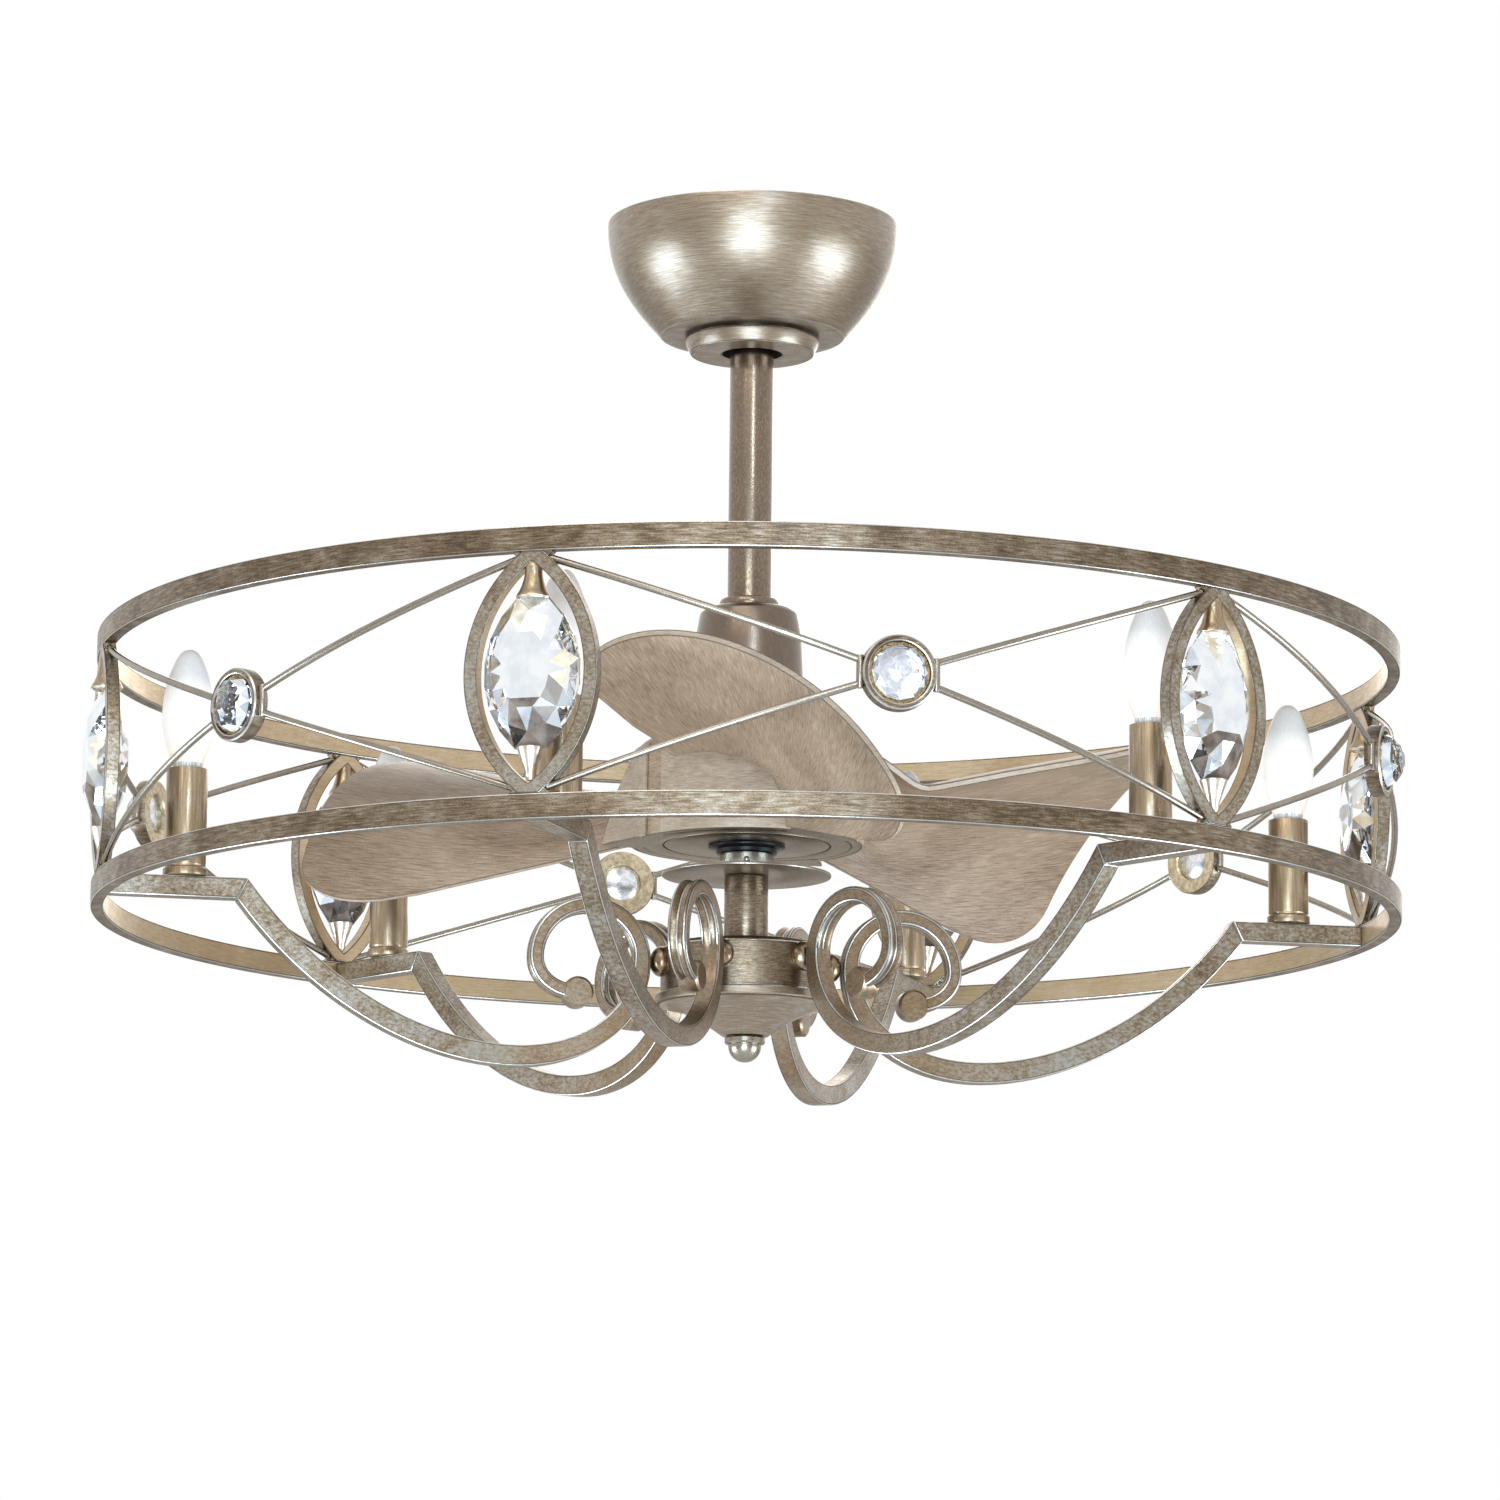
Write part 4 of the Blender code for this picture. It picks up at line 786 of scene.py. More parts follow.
def make_blades():
    clear()
    bpy.ops.mesh.primitive_grid_add(x_subdivisions=56, y_subdivisions=30, size=1.0)
    blade = named("fan_blade")
    grain = blade.data.uv_layers.new(name="grain")
    shares = []
    for corner in blade.data.vertices:
        across = corner.co.x + 0.5
        share = 0.3 * (1 - math.cos(math.pi * across)) + 0.4 * across
        corner.co = blade_point(share, (corner.co.y + 0.5) ** 1.2)
        shares.append((share, math.hypot(corner.co.x, corner.co.y)))
    for loop in blade.data.loops:
        share, reach = shares[loop.vertex_index]
        grain.data[loop.index].uv = (share * 0.165 * (0.5 + reach), reach)
    slotted(blade)
    stepped(blade, "SOLIDIFY", thickness=BLADE_THICKNESS, offset=0.0, use_even_offset=True,
            material_offset_rim=1)
    pick(blade)
    bpy.ops.object.mode_set(mode="EDIT")
    closed()
    outlined(blade, 0.0007, 1)
    softened(blade, 0.0005, 50.0, 2)
    dressed(repeated(blade, "fan_blade", BLADES), [BLADE_GRAIN, BLADE_RIM, BLADE_LINE],
            numbered("blade", BLADES), "rotor")
    for piece, below in ((make_skirt(), SKIRT_GRAIN), (make_heel(), SILVER_PLATE)):
        dressed(repeated(piece, piece.name, BLADES), [SKIRT_GRAIN, below, BLADE_LINE], None, "rotor")


# Stem, light plate and hub

def make_stem():
    top = -0.3919
    low = top - 0.0046
    gland = spun("black_gland", [(0.0236, top), (0.0236, top - 0.0013), (0.0205, top - 0.0019),
                                 (0.0187, top - 0.0024), (0.0187, low), (0.0083, low), (0.0083, top)], 72)
    softened(gland, 0.0003)
    dressed([gland], [BLACK], ["gland"])
    top = -0.3968
    foot = top - 0.0095
    waist = top - 0.0119
    seat = -0.4537
    stem = spun("light_stem", [(0.0, foot), (0.0083, foot), (0.0083, top), (0.0165, top), (0.0165, waist),
                               (0.0100, waist), (0.0100, top - 0.0140), (0.0135, top - 0.0140),
                               (0.0135, seat), (0.0080, seat), (0.0080, -0.4612), (0.0, -0.4612)], 64, False)
    softened(stem, 0.0006)
    marked(stem, 1, lambda face: foot < face.center.z < top - 0.0016 and from_axis(face) > 0.016)
    dressed([stem], [SILVER_STEM, SILVER_WEAR_AND_PAINTED_HIGHLIGHT], ["stem"])
    screw = spun("collar_screw", [(0.0, 0.0011), (0.0010, 0.0010), (0.0017, 0.0006), (0.0021, 0.0),
                                  (0.0021, -0.0006), (0.0, -0.0006)], 20, False)
    smooth(screw, 50.0)
    placed(screw, around(PHOTO_TURN) @ Matrix.Translation((0.0, -0.0165, top - 0.0055)) @ FACING_OUT)
    dressed([screw], [SILVER_WEAR_AND_PAINTED_HIGHLIGHT])
    top = -0.4090
    low = top - 0.0015
    disc = spun("light_plate_disc", [(0.052, top), (0.052, low), (0.0103, low), (0.0103, top)], 128)
    softened(disc, 0.0003, slot=1)
    dressed([disc], [SILVER_PLATE, SILVER_WEAR_AND_PAINTED_HIGHLIGHT], ["light_plate"])


def make_hub():
    top = -0.454
    low = top - 0.0302
    inside = top - 0.003
    body = spun("hub_drum", [(0.0083, top), (0.0495, top), (HUB_RADIUS, top - 0.0025), (HUB_RADIUS, low),
                             (0.0495, low), (0.0495, inside), (0.0083, inside)], 128)
    softened(body, 0.0006, 30.0, 1)
    outlined(body, 0.0005)
    dressed([body], [SILVER_STEM, SILVER_WEAR_AND_PAINTED_HIGHLIGHT, SILVER_LINE], ["hub_body"])
    shape = [(0.0, KNOB_REACH), (0.0040, 0.0076), (0.0072, 0.0058), (0.0092, 0.0030), (0.0095, 0.0006),
             (0.0088, -0.0010), (0.0070, -0.0020), (0.0, -0.0020)]
    knob = spun("hub_knob", shape, 40, False)
    stepped(knob, "SUBSURF", levels=1, render_levels=1)
    smooth(knob, 60.0)
    placed(knob, Matrix.Translation((0.0, -HUB_RADIUS + FIT, SCROLL_LEVEL)) @ FACING_OUT)
    dressed(repeated(knob, "hub_knob"), [SILVER_SCROLL])
    top = low - FIT
    tip = -0.0247
    slope = flowing([(0.0525, -0.0062), (0.042, -0.0085), (0.026, -0.0166), (0.014, tip)], 6)
    outer = [(0.0546, 0.0), (0.055, -0.0006), (0.055, -0.0046), (0.0544, -0.0056)] + slope
    inner = offset_line(slope, [-0.0025] * len(slope))[::-1]
    profile = [(0.0490, 0.005), (0.0490, 0.0)] + outer + [(0.0033, tip), (0.0033, tip + 0.0025)]
    profile += inner[1:-1] + [(0.0465, -0.003), (0.0465, 0.005)]
    cone = spun("hub_cone_cap", lowered(profile, top), 128)
    smooth(cone, 28.0)
    marked(cone, 1, lambda face: from_axis(face) > 0.0545 and face.center.z > top - 0.0012)
    marked(cone, 2, lambda face: 0.0530 < from_axis(face) < 0.0546 and face.center.z < top - 0.0052)
    dressed([cone], [SILVER_TURNED, SILVER_WEAR_AND_PAINTED_HIGHLIGHT, SILVER_LINE], ["hub_cone"])
    make_finial(top + tip - FIT)


def make_finial(top):
    """Disc and ball under the hub."""
    radius = 0.0101
    sunk = 0.0010
    centre = top - 0.0046 - sunk
    high = math.degrees(math.acos(sunk / radius))
    ball = []
    for step in range(19):
        angle = math.radians(high + (180 - high) * step / 18)
        ball.append((radius * math.sin(angle), centre + radius * math.cos(angle)))
    ball[-1] = (0.0, centre - radius)
    profile = [(0.0, top + 0.012), (0.003, top + 0.012), (0.003, top), (0.0112, top), (0.0124, top - 0.0012),
               (0.0124, top - 0.0036), (0.0116, top - 0.0046)]
    finial = spun("ball_finial", profile + ball, 56, False)
    smooth(finial, 32.0)
    dressed([finial], [SILVER_WIRE], ["finial"])


# Cage

def make_rings():
    for name, node, side in (("top_hoop", "top_ring", 1), ("bottom_hoop", "bottom_ring", -1)):
        middle = CAGE_HEIGHT + side * RING_SPACING / 2
        high = middle + RING_HEIGHT / 2
        low = middle - RING_HEIGHT / 2
        inner = RING_RADIUS - RING_DEPTH
        hoop = spun(name, [(RING_RADIUS, high), (RING_RADIUS, low), (inner, low), (inner, high)], 360)
        softened(hoop, 0.0006, slot=1)
        outlined(hoop, 0.0005)
        # Faces that look in towards the lamps take the painted lamplight.
        marked(hoop, 3, lambda face: face.material_index == 0 and
               face.normal.x * face.center.x + face.normal.y * face.center.y < -0.2)
        dressed([hoop], [SILVER_BAR, SILVER_WEAR_AND_PAINTED_HIGHLIGHT, SILVER_LINE, SILVER_PAINTED_LAMPLIGHT], [node])


def arm_line():
    """Centre line of an arm from the hoop to the scroll's end, with the bar's size at each point."""
    centre = Vector((HUB_RADIUS + KNOB_REACH + SCROLL_HUB_BAR / 2 + SCROLL_RADIUS, SCROLL_LEVEL))
    corner = Vector((0.3116, ARM_LEVEL))
    low = Vector((0.144, -0.5268))
    rise = centre - Vector((SCROLL_RADIUS, 0.0))
    outer = centre + Vector((SCROLL_RADIUS, 0.0))
    end = centre + Vector((0.0068, -0.0212))
    points = [Vector((RING_RADIUS - RING_DEPTH - FIT, ARM_LEVEL)), corner]
    fall = corner + Vector((-0.044, -0.0584))
    points += curve_points((corner, fall, low + Vector((0.060, 0.0)), low), 28)[1:]
    sizes = [ARM_BAR] * len(points)
    points += curve_points((low, low - Vector((0.044, 0.0)), rise - Vector((0.0, 0.0368)), rise), 22)[1:]
    sizes += [ARM_BAR + (SCROLL_HUB_BAR - ARM_BAR) * (step + 1) / 22 for step in range(22)]
    for step in range(1, 28):
        angle = math.pi * step / 28
        points.append(centre - Vector((math.cos(angle), -math.sin(angle))) * SCROLL_RADIUS)
        sizes.append(SCROLL_HUB_BAR + (SCROLL_BAR - SCROLL_HUB_BAR) * step / 28)
    points += curve_points((outer, outer - Vector((0.0, 0.012)), end + Vector((0.0152, 0.0)), end), 12)
    sizes += [SCROLL_BAR] * 13
    return points, sizes


def groove_depth(out):
    """How deep a scroll is grooved at a distance from the middle of its bar."""
    if out < 0.0001:
        return 0.0016
    if out < 0.0020:
        return 0.0008
    if out < 0.0050:
        return 0.0
    return 0.0012


def make_arms():
    """Each arm is a level bar mitred to a long bar that ends in a grooved scroll with a boss."""
    points, sizes = arm_line()
    left = offset_line(points, [size / 2 for size in sizes])
    right = offset_line(points, [-size / 2 for size in sizes])
    level = plate("level_bar", [left[0], left[1], right[1], right[0]], [ARM_WIDTH / 2, ARM_WIDTH / 2])
    strips = [0.0012, 0.0016, 0.0015, 0.0017, 0.0017, 0.0015, 0.0016, 0.0012]
    arm = plate("scroll_arm", left[1:] + right[1:][::-1], strips)
    scroll = 46
    line = []
    for side in (left, right):
        for step, (point, middle) in enumerate(zip(side[scroll:], points[scroll:])):
            line.append((Vector(point), Vector(middle), min(1.0, step / 8)))
    for corner in arm.data.vertices:
        groove = groove_depth(abs(corner.co.y))
        here = Vector((corner.co.x, corner.co.z))
        point, middle, share = min(line, key=lambda pair: (pair[0] - here).length)
        if groove and (point - here).length < 0.0001:
            inward = (middle - point).normalized() * groove * share
            corner.co.x += inward.x
            corner.co.z += inward.y
    for bar in (level, arm):
        softened(bar, 0.0006, 38.0, 1)
        outlined(bar, 0.0005)
    end = points[-1]
    boss = spun("scroll_boss", [(0.0, 0.0066), (0.0080, 0.0066), (0.0095, 0.0052), (0.0095, -0.0052),
                                (0.0080, -0.0066), (0.0, -0.0066)], 40, False)
    smooth(boss)
    placed(boss, Matrix.Translation((end[0], 0.0, end[1])) @ FACING_OUT)
    slotted(boss)
    looks = [SILVER_ARM, SILVER_WEAR_AND_PAINTED_HIGHLIGHT, SILVER_LINE]
    for piece in (level, arm, boss):
        for index, look in enumerate(looks):
            piece.data.materials[index] = look
    whole = joined(arm, level, boss)
    placed(whole, around(-math.pi / 2))
    dressed(repeated(whole, "scroll_arm"), looks, numbered("arm"))


def make_candles():
    low = SLEEVE_FOOT
    top = low + SLEEVE_HEIGHT
    profile = [(0.0, top - 0.027), (0.0066, top - 0.027), (0.0066, top - 0.007), (0.0116, top - 0.007),
               (0.0116, top), (0.0125, top), (0.0125, low + 0.0062), (0.0121, low + 0.0058),
               (0.0121, low + 0.0050), (0.0134, low + 0.0042), (0.0134, low), (0.0, low)]
    sleeve = spun("candle_sleeve", profile, 64, False)
    softened(sleeve, 0.0004)
    placed(sleeve, AT_CANDLE)
    dressed(repeated(sleeve, "candle_sleeve"), [SILVER_SLEEVE], numbered("candle_cover"))
    shape = [(0.0, 0.0), (0.0022, -0.0002), (0.0046, -0.0014), (0.0072, -0.0044), (0.0098, -0.0098),
             (0.0128, -0.0180), (0.0150, -0.0275), (0.0160, -0.0390), (0.0153, -0.0500), (0.0134, -0.0585),
             (0.0108, -0.0655), (0.0094, -0.0700), (0.0091, -0.0734)]
    profile = lowered(flowing(shape, 4), LAMP_TIP)
    profile[0] = (0.0, LAMP_TIP)
    profile += [(0.0093, top - 0.0005), (0.0093, top - 0.0066), (0.0061, top - 0.0066),
                (0.0061, top - 0.0266), (0.0, top - 0.0266)]
    lamp = spun("candle_lamp", profile, 56, False)
    smooth(lamp, 40.0)
    marked(lamp, 1, lambda face: face.center.z < LAMP_TIP - 0.0696)
    placed(lamp, AT_CANDLE)
    dressed(repeated(lamp, "candle_lamp"), [LAMP, LAMP_NECK], numbered("bulb"))


def pointed_oval(half_width, half_height, cut, parts):
    """Outline of a pointed oval, cut flat at a height, from its lower right end round to its lower left."""
    radius = (half_width ** 2 + half_height ** 2) / (2 * half_width)
    limit = math.asin(cut / radius)
    side = []
    for index in range(parts + 1):
        angle = -limit + 2 * limit * index / parts
        side.append(Vector((radius * math.cos(angle) - radius + half_width, radius * math.sin(angle))))
    return side + [-point for point in side]


def weld_foot(side):
    """Foot between a frame's end and a hoop, narrower towards the frame."""
    height = side * (FRAME_HALF_HEIGHT - FOOT_HEIGHT / 2)
    clear()
    bpy.ops.mesh.primitive_cube_add(size=1.0, location=(0.0, 0.0, height))
    bpy.context.object.scale = (2 * FRAME_FOOT, FRAME_DEPTH - 0.0012, FOOT_HEIGHT)
    foot = named("weld_foot")
    bpy.ops.object.mode_set(mode="EDIT")
    bpy.ops.mesh.select_all(action="DESELECT")
    bpy.ops.object.mode_set(mode="OBJECT")
    for corner in foot.data.vertices:
        corner.select = corner.co.z * side < FRAME_HALF_HEIGHT - FOOT_HEIGHT + 0.0001
    bpy.ops.object.mode_set(mode="EDIT")
    bpy.ops.transform.resize(value=(0.62, 1.0, 1.0), center_override=(0.0, 0.0, 0.0))
    bpy.ops.object.mode_set(mode="OBJECT")
    return foot


def make_frames():
    """Pointed frames: half an arc bar, mirrored, with a foot at both ends."""
    bulge = FRAME_HALF_WIDTH - FRAME_TIP
    radius = (bulge ** 2 + FRAME_HALF_HEIGHT ** 2) / (2 * bulge)
    centre = (FRAME_HALF_WIDTH - radius, -FRAME_DEPTH / 2, 0.0)
    clear()
    bpy.ops.mesh.primitive_circle_add(vertices=256, radius=radius, location=centre,
                                      rotation=(math.pi / 2, 0.0, 0.0))
    settled()
    opened()
    bpy.ops.mesh.extrude_region_move()
    share = (radius - FRAME_BAR) / radius
    bpy.ops.transform.resize(value=(share, share, share), center_override=centre)
    bpy.ops.mesh.select_all(action="SELECT")
    bpy.ops.mesh.bisect(plane_co=(0.0, 0.0, 0.0), plane_no=(1.0, 0.0, 0.0), clear_inner=True)
    for side in (-1, 1):
        bpy.ops.mesh.select_all(action="SELECT")
        bpy.ops.mesh.bisect(plane_co=(0.0, 0.0, side * FRAME_HALF_HEIGHT), plane_no=(0.0, 0.0, side),
                            clear_outer=True)
    bar = named("pointed_frame")
    stepped(bar, "MIRROR", use_axis=(True, False, False), use_mirror_merge=True, merge_threshold=0.00002)
    pick(bar)
    opened()
    drawn_out(0.0, FRAME_DEPTH, 0.0)
    closed()
    for side in (-1, 1):
        foot = weld_foot(side)
        stepped(bar, "BOOLEAN", operation="UNION", solver="EXACT", object=foot)
        bpy.data.objects.remove(foot, do_unlink=True)
    softened(bar, 0.0006, 32.0, 1)
    outlined(bar, 0.0005)
    # Faces that look in towards the lamps, and the frame's inner edges round the crystal, take the painted
    # lamplight.
    marked(bar, 3, lambda face: face.material_index == 0 and (face.normal.y > 0.7 or (
           abs(face.normal.y) < 0.3 and face.normal.x * face.center.x + face.normal.z * face.center.z < 0.0)))
    placed(bar, ON_WALL)
    dressed(repeated(bar, "pointed_frame"), [SILVER_ARM, SILVER_WEAR_AND_PAINTED_HIGHLIGHT, SILVER_LINE, SILVER_PAINTED_LAMPLIGHT],
            numbered("panel"))


def make_caps():
    """Metal caps that hold the pointed crystals at both ends."""
    shape = flowing([(0.0, 0.0640), (0.0034, 0.0634), (0.0050, 0.0605), (0.0050, 0.0570), (0.0058, 0.0525),
                     (0.0074, 0.0478), (0.0092, 0.0446), (0.0098, 0.0430)], 4)
    upper = spun("upper_cap", shape + [Vector((0.0086, 0.0420)), Vector((0.0, 0.0432))], 32, False)
    lower = spun("lower_cap", [(0.0, -0.0432), (0.0070, -0.0420), (0.0080, -0.0426), (0.0078, -0.0436),
                               (0.0050, -0.0512), (0.0034, -0.0560), (0.0032, -0.0590), (0.0020, -0.0612),
                               (0.0, -0.0618)], 32, False)
    for cap, look in ((upper, SILVER_SLEEVE), (lower, CAP_PALE)):
        smooth(cap, 40.0)
        marked(cap, 1, lambda face: abs(face.center.z) < 0.0432)
        placed(cap, ON_WALL)
        dressed(repeated(cap, cap.name), [look, CAP_PALE])


def make_settings():
    """Round settings: a rim, a gilded recess and a lip behind the stone, with a foil on the lip."""
    front = BEZEL_FACE
    bore = 0.0152
    lip = front - 0.0060
    recess = front - 0.0021
    profile = [(0.0179, front - 0.0003), (0.0186, front), (0.0204, front), (0.0213, front - 0.0008),
               (BEZEL_RADIUS, front - 0.0022), (BEZEL_RADIUS, -front + 0.0012), (0.0209, -front),
               (0.0132, -front), (0.0122, -front + 0.0008), (0.0122, lip), (bore, lip), (bore, recess),
               (0.0174, recess)]
    setting = spun("round_setting", profile, 72)
    smooth(setting, 32.0)
    marked(setting, 1, lambda face: from_axis(face) < 0.0178 and face.center.z < front - 0.0004)
    marked(setting, 2, lambda face: 0.0177 < from_axis(face) < 0.0186 and face.center.z > front - 0.0004)
    marked(setting, 3, lambda face: face.material_index == 1 and face.center.z > front - 0.0061)
    marked(setting, 2, lambda face: from_axis(face) > 0.0206 and face.center.z > front - 0.0009)
    placed(setting, BETWEEN_FRAMES)
    dressed(repeated(setting, "round_setting"), [SILVER_BAR, GOLDEN, SILVER_WEAR_AND_PAINTED_HIGHLIGHT, DARK_GAP])
    high = front - 0.0062
    low = front - 0.0070
    foil = spun("stone_foil", [(0.0, high), (0.0116, high), (0.0120, front - 0.0066), (0.0116, low),
                               (0.0, low)], 48, False)
    smooth(foil, 50.0)
    placed(foil, BETWEEN_FRAMES)
    dressed(repeated(foil, "stone_foil"), [FOIL])


def varied(face):
    """A number between 0 and 1 that differs from facet to facet."""
    mixed = face.center.x * 5171.0 + face.center.y * 2917.0 + face.center.z * 9257.0
    return math.fmod(abs(math.sin(mixed)) * 7.31, 1.0)


def round_facet(face):
    """Which of three looks a facet of a round crystal shows: clear glass, a painted silvery reflection and a
    painted brown reflection.
    """
    if face.center.z <= BEZEL_FACE or from_axis(face) <= 0.0118:
        return 0
    chance = varied(face)
    return 1 if chance < 0.55 else 2 if chance > 0.70 else 0


def pointed_facet(face):
    """Which of five looks a facet of a pointed crystal shows: clear glass, a painted glint, painted shade, a
    painted warm glint and a painted silvery reflection; the front facet is a painted glint above and painted
    shade below.
    """
    height = face.center.z / CRYSTAL_HALF_HEIGHT
    side = face.center.x / CRYSTAL_HALF_WIDTH
    chance = varied(face)
    if abs(face.normal.y) > 0.98:
        if face.center.y >= 0.0:
            return 0
        return 1 if height > -0.30 else 2
    if height < -0.36 and abs(side) < 0.55:
        return 2 if chance < 0.60 else 4 if chance < 0.72 else 0
    if abs(side) > 0.66:
        return 4 if chance < 0.20 else 3 if chance < 0.30 else 0
    if height < 0.0:
        return 1 if chance < 0.62 else 3 if chance < 0.70 else 4 if chance < 0.76 else 0
    return 1 if chance < 0.86 else 3 if chance < 0.92 else 0


def faceted(name, kinds, kind_of):
    """The piece in edit mode as a cut stone, with one look for each of its facets, from clear glass and
    painted glints, reflections and shade.
    """
    bpy.ops.mesh.select_all(action="SELECT")
    bpy.ops.mesh.quads_convert_to_tris(quad_method="SHORTEST_DIAGONAL", ngon_method="BEAUTY")
    closed()
    stone = named(name)
    slotted(stone, kinds)
    for face in stone.data.polygons:
        face.material_index = kind_of(face)
    return stone


def make_round_crystals():
    """Twelve-sided stones with rows of facets turned against each other, drawn out row by row."""
    front = BEZEL_FACE
    count = 12
    half = math.pi / count
    height = front - 0.0057
    wide = 0.0130
    clear()
    bpy.ops.mesh.primitive_circle_add(vertices=count, radius=wide, fill_type="NGON",
                                      location=(0.0, 0.0, height))
    settled()
    opened()
    for reach, level, turned in ((0.0160, front - 0.0016, 0.0), (0.0160, front + 0.0002, 0.0),
                                 (0.0132, front + 0.0048, half), (0.0088, front + 0.0084, -half),
                                 (0.0046, front + STONE_RISE, half)):
        drawn_out(0.0, 0.0, level - height)
        share = reach / wide
        bpy.ops.transform.resize(value=(share, share, 1.0), center_override=(0.0, 0.0, level))
        if turned:
            bpy.ops.transform.rotate(value=turned, orient_axis="Z", center_override=(0.0, 0.0, level))
        height = level
        wide = reach
    stone = faceted("round_crystal_stone", 3, round_facet)
    placed(stone, BETWEEN_FRAMES)
    dressed(repeated(stone, "round_stone"), [CRYSTAL, CRYSTAL_PAINTED_GREY_REFLECTION, CRYSTAL_PAINTED_UMBER_REFLECTION], numbered("round_crystal"))


def thin_rod(line):
    """A round wire along a line of points."""
    clear()
    bpy.ops.curve.primitive_bezier_curve_add()
    rod = bpy.context.object
    rod.data.splines.clear()
    path = rod.data.splines.new("POLY")
    path.points.add(len(line) - 1)
    for mark, point in zip(path.points, line):
        mark.co = (*point, 1.0)
    rod.data.dimensions = "3D"
    rod.data.bevel_depth = WIRE_RADIUS
    rod.data.bevel_resolution = 3
    rod.data.use_fill_caps = True
    bpy.ops.object.convert(target="MESH")
    rod = named("setting_wire")
    bpy.ops.object.mode_set(mode="EDIT")
    closed()
    smooth(rod, 45.0)
    return rod


def make_wires():
    """Four thin rods and two straps that hold each round setting between the frames."""
    strap = STRAP_REACH / WALL_RADIUS
    rods = []
    for side in (-1, 1):
        start = math.asin((FRAME_FOOT - 0.002) / WALL_RADIUS)
        end = HALF_PLACE - strap
        if side > 0:
            start = 2 * HALF_PLACE - start
            end = HALF_PLACE + strap
        for level in (-1, 1):
            inner_height = level * (STRAP_HEIGHT / 2 - STRAP_INSET)
            foot_height = level * (FRAME_HALF_HEIGHT - WIRE_FOOT_DROP)
            line = []
            for index in range(15):
                share = index / 14
                angle = start + (end - start) * share
                height = foot_height + (inner_height - foot_height) * share + CAGE_HEIGHT
                line.append((WALL_RADIUS * math.sin(angle), -WALL_RADIUS * math.cos(angle), height))
            rods.append(thin_rod(line))
        clear()
        bpy.ops.mesh.primitive_cylinder_add(vertices=24, radius=STRAP_WIDTH / 2, depth=STRAP_HEIGHT)
        bar = named("setting_strap")
        softened(bar, 0.0006)
        placed(bar, around(HALF_PLACE) @ Matrix.Translation((side * STRAP_REACH, -WALL_RADIUS, CAGE_HEIGHT)))
        rods.append(bar)
    whole = joined(*rods)
    dressed(repeated(whole, "setting_wires"), [SILVER_WIRE])


def make_pointed_crystals():
    """Pointed crystals cut in rows of slanting facets round a long front facet."""
    outline = pointed_oval(CRYSTAL_HALF_WIDTH, CRYSTAL_HALF_HEIGHT, CRYSTAL_CUT, 7)
    count = len(outline)
    mids = [(outline[index] + outline[(index + 1) % count]) / 2 for index in range(count)]
    rows = [(outline, 0.50, -CRYSTAL_HALF_DEPTH), (mids, 0.80, -0.0072), (outline, 1.0, -0.0010),
            (outline, 1.0, 0.0010), (mids, 0.80, 0.0072), (outline, 0.50, CRYSTAL_HALF_DEPTH)]
    clear()
    bpy.ops.mesh.primitive_circle_add(vertices=count, radius=0.02, fill_type="NGON")
    stone = bpy.context.object
    opened()
    for index in range(len(rows) - 1):
        drawn_out(0.0, 0.0, 0.01)
    bpy.ops.object.mode_set(mode="OBJECT")
    levels = {}
    for corner in stone.data.vertices:
        levels.setdefault(round(corner.co.z, 4), []).append(corner)
    for level, (line, share, depth) in zip(sorted(levels), rows):
        ring = sorted(levels[level], key=lambda corner: math.atan2(corner.co.y, corner.co.x))
        shape = sorted(line, key=lambda point: math.atan2(point.y, point.x))
        for corner, point in zip(ring, shape):
            corner.co = (point.x * share, depth, point.y * share)
    bpy.ops.object.mode_set(mode="EDIT")
    stone = faceted("pointed_stone", 5, pointed_facet)
    placed(stone, ON_WALL)
    dressed(repeated(stone, "pointed_stone"),
            [CRYSTAL, CRYSTAL_PAINTED_GLINT, CRYSTAL_PAINTED_SHADE, CRYSTAL_PAINTED_WARM_GLINT, CRYSTAL_PAINTED_GREY_REFLECTION],
            numbered("marquise_crystal"))


def finish_inner_nodes():
    """Better finishes for the solids that stay as they are."""
    looks = {"ceiling_bracket": IRON, "hanger_ball": IRON, "magnet_ring": IRON, "stator": COPPER,
             "upper_bearing": STEEL, "lower_bearing": STEEL, "coupling": SILVER_TURNED}
    for name, material in looks.items():
        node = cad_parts[name]
        node.data.materials.clear()
        node.data.materials.append(material)


# Studio

class Surround(Finish):
    """The world's surround in the making."""

    def __init__(self, name):
        self.world = bpy.data.worlds.new(name)
        self.world.use_nodes = True
        self.nodes = self.world.node_tree.nodes
        self.links = self.world.node_tree.links
        self.nodes.clear()


def make_floor():
    """Pale floor far below, which glows more to the camera than on the fan."""
    clear()
    bpy.ops.mesh.primitive_plane_add(size=60.0, location=(0.0, 0.0, -1.75))
    floor = bpy.context.object
    floor.name = "studio_floor"
    make = Finish("pale_floor")
    value = make.noise(make.place(EVEN), 1.5, 3.0, 0.5)
    make.feed(make.ramp(value, [(0.3, (0.86, 0.86, 0.855)), (0.7, (0.88, 0.88, 0.875))]), "Base Color")
    glow = make.span(make.add("ShaderNodeLightPath").outputs["Is Camera Ray"], 0.0, 1.0, 0.36, 0.74)
    make.feed(glow, "Emission Strength")
    make.set(Roughness=0.9, Specular_IOR_Level=0.0, Emission_Color=(1.0, 0.95, 0.88, 1.0))
    floor.data.materials.append(make.material)


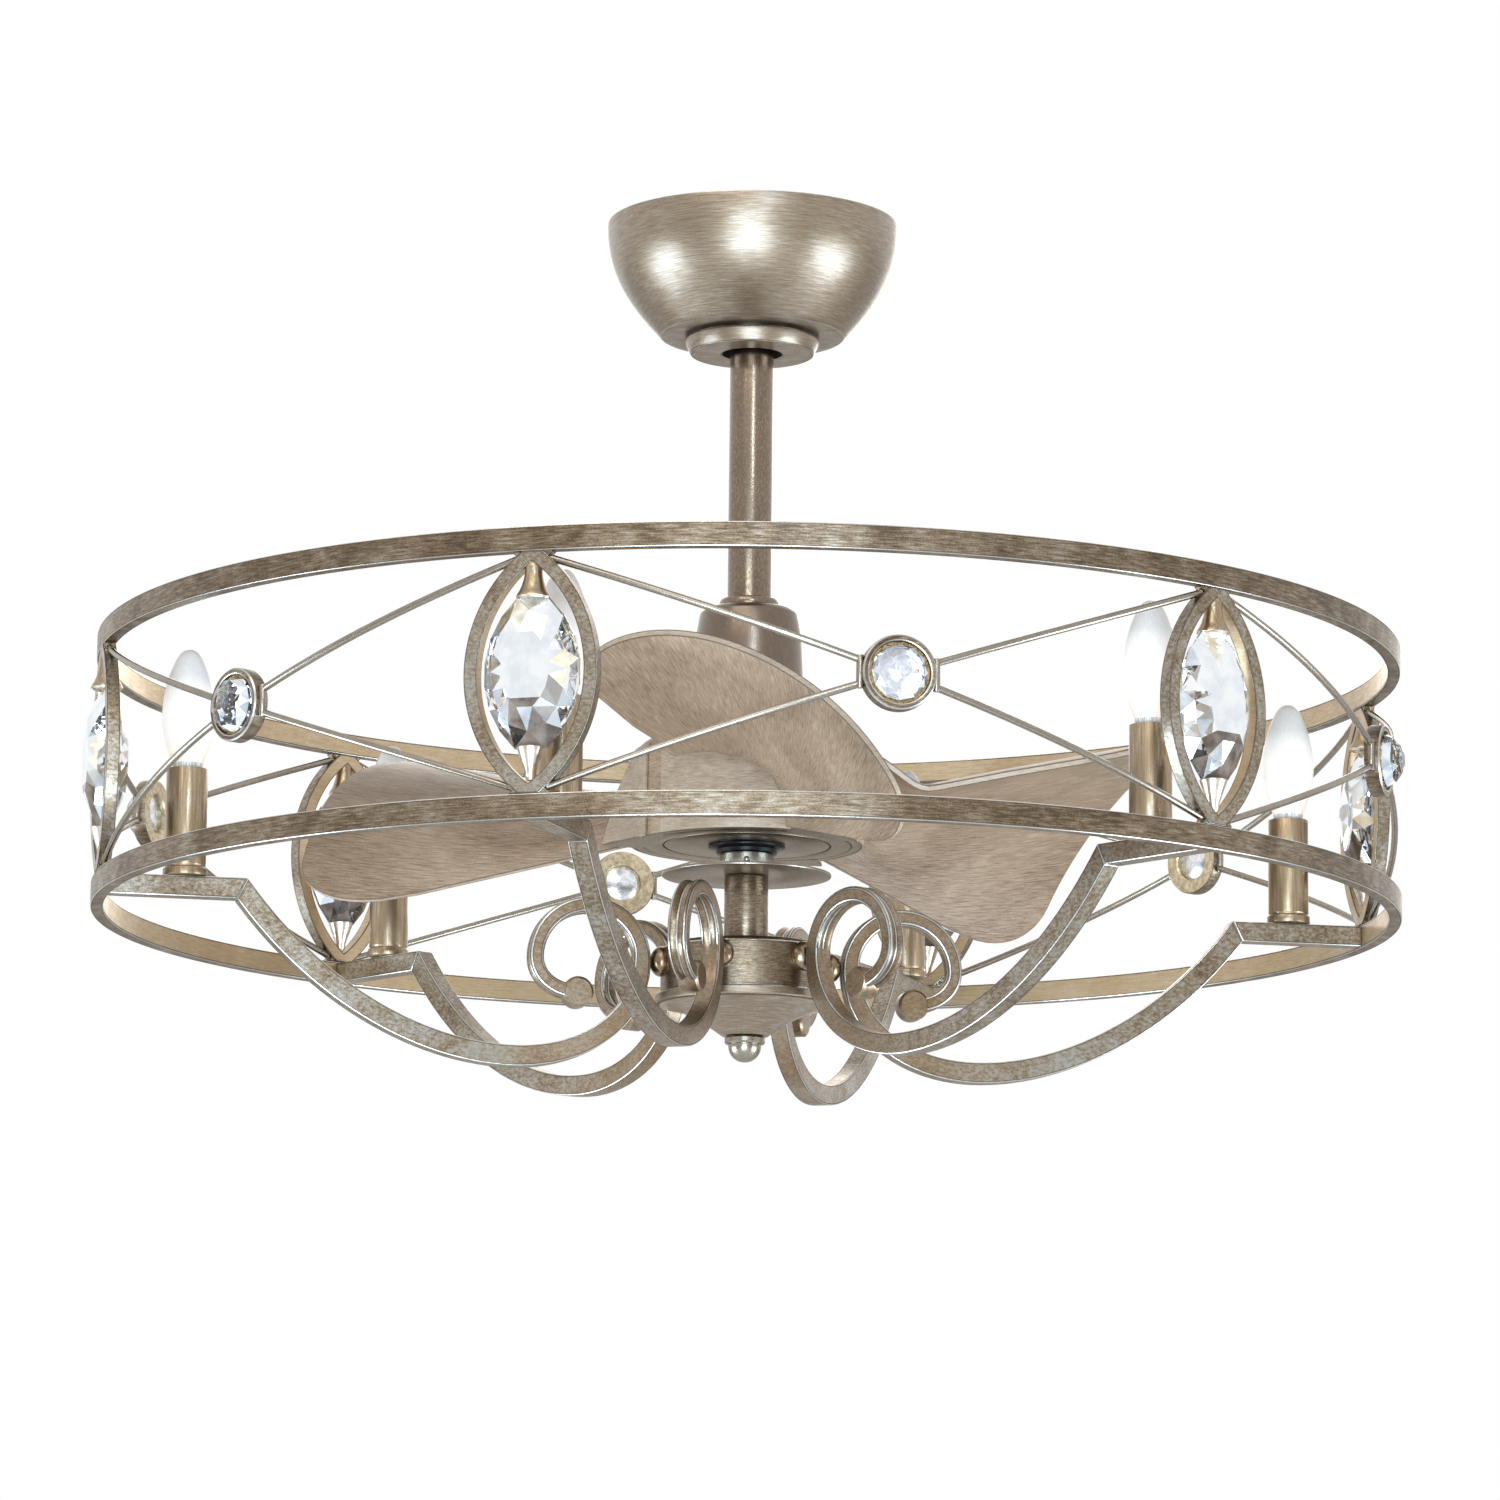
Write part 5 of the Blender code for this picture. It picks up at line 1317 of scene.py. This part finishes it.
def make_lights():
    """Soft lamps at angles from the camera's side, all turned to the middle of the fan."""
    cool = (0.68, 0.84, 1.0)
    warm = (1.0, 0.93, 0.82)
    for name, angle, far, height, wide, tall, power, colour in (
            ("front_softbox", -4.0, 4.9, -0.90, 2.3, 1.7, 96.0, cool),
            ("front_low_softbox", -4.0, 2.5, -1.44, 1.3, 0.6, 38.0, cool),
            ("front_strip", 10.0, 5.0, 1.45, 0.70, 1.2, 44.0, (0.66, 0.83, 1.0)),
            ("left_softbox", -86.0, 2.1, -1.22, 1.2, 0.9, 37.0, cool),
            ("right_softbox", 74.0, 2.1, -1.22, 1.2, 0.9, 37.0, (0.72, 0.86, 1.0)),
            ("overhead_softbox", -20.0, 2.2, 1.6, 2.0, 1.4, 20.0, warm),
            ("back_softbox", 172.0, 3.0, 0.7, 2.0, 1.4, 20.0, warm)):
        clear()
        turned = PHOTO_TURN + math.radians(angle)
        place = Vector((far * math.sin(turned), -far * math.cos(turned), height))
        bpy.ops.object.light_add(type="AREA", location=place)
        light = bpy.context.object
        light.name = name
        light.data.energy = power
        light.data.color = colour
        light.data.shape = "RECTANGLE"
        light.data.size = wide
        light.data.size_y = tall
        aim = Vector((0.0, 0.0, -0.33)) - place
        light.rotation_euler = aim.to_track_quat("-Z", "Y").to_euler()


def make_surround():
    """White to the camera, in reflections and through glass, and a dim shaded light for the rest."""
    make = Surround("studio_surround")
    bpy.context.scene.world = make.world
    split = make.add("ShaderNodeSeparateXYZ")
    make.join(make.add("ShaderNodeTexCoord").outputs["Generated"], split.inputs["Vector"])
    shade = make.ramp(make.span(split.outputs["Z"], -1.0, 1.0),
                      [(0.0, (0.42, 0.41, 0.39)), (0.34, (0.72, 0.71, 0.69)), (0.50, (0.95, 0.95, 0.94)),
                       (0.66, (0.70, 0.69, 0.67)), (1.0, (0.30, 0.29, 0.28))])
    lighting = make.add("ShaderNodeBackground", {"Strength": 0.32})
    make.join(shade, lighting.inputs["Color"])
    seen = make.add("ShaderNodeBackground", {"Color": (1.0, 1.0, 1.0, 1.0), "Strength": 1.0})
    path = make.add("ShaderNodeLightPath")
    shown = path.outputs["Is Camera Ray"]
    for kind in ("Is Glossy Ray", "Is Transmission Ray"):
        either = make.add("ShaderNodeMath", operation="MAXIMUM")
        make.join(shown, either.inputs[0])
        make.join(path.outputs[kind], either.inputs[1])
        shown = either.outputs[0]
    mix = make.add("ShaderNodeMixShader")
    make.join(shown, mix.inputs["Fac"])
    make.join(lighting.outputs["Background"], mix.inputs[1])
    make.join(seen.outputs["Background"], mix.inputs[2])
    make.join(mix.outputs["Shader"], make.add("ShaderNodeOutputWorld").inputs["Surface"])
    bpy.context.scene.view_settings.view_transform = "Standard"


look_through()
make_canopy()
make_rod()
make_motor()
make_blades()
make_stem()
make_hub()
make_rings()
make_arms()
make_candles()
make_frames()
make_caps()
make_settings()
make_round_crystals()
make_wires()
make_pointed_crystals()
finish_inner_nodes()
make_floor()
make_lights()
make_surround()
clear()
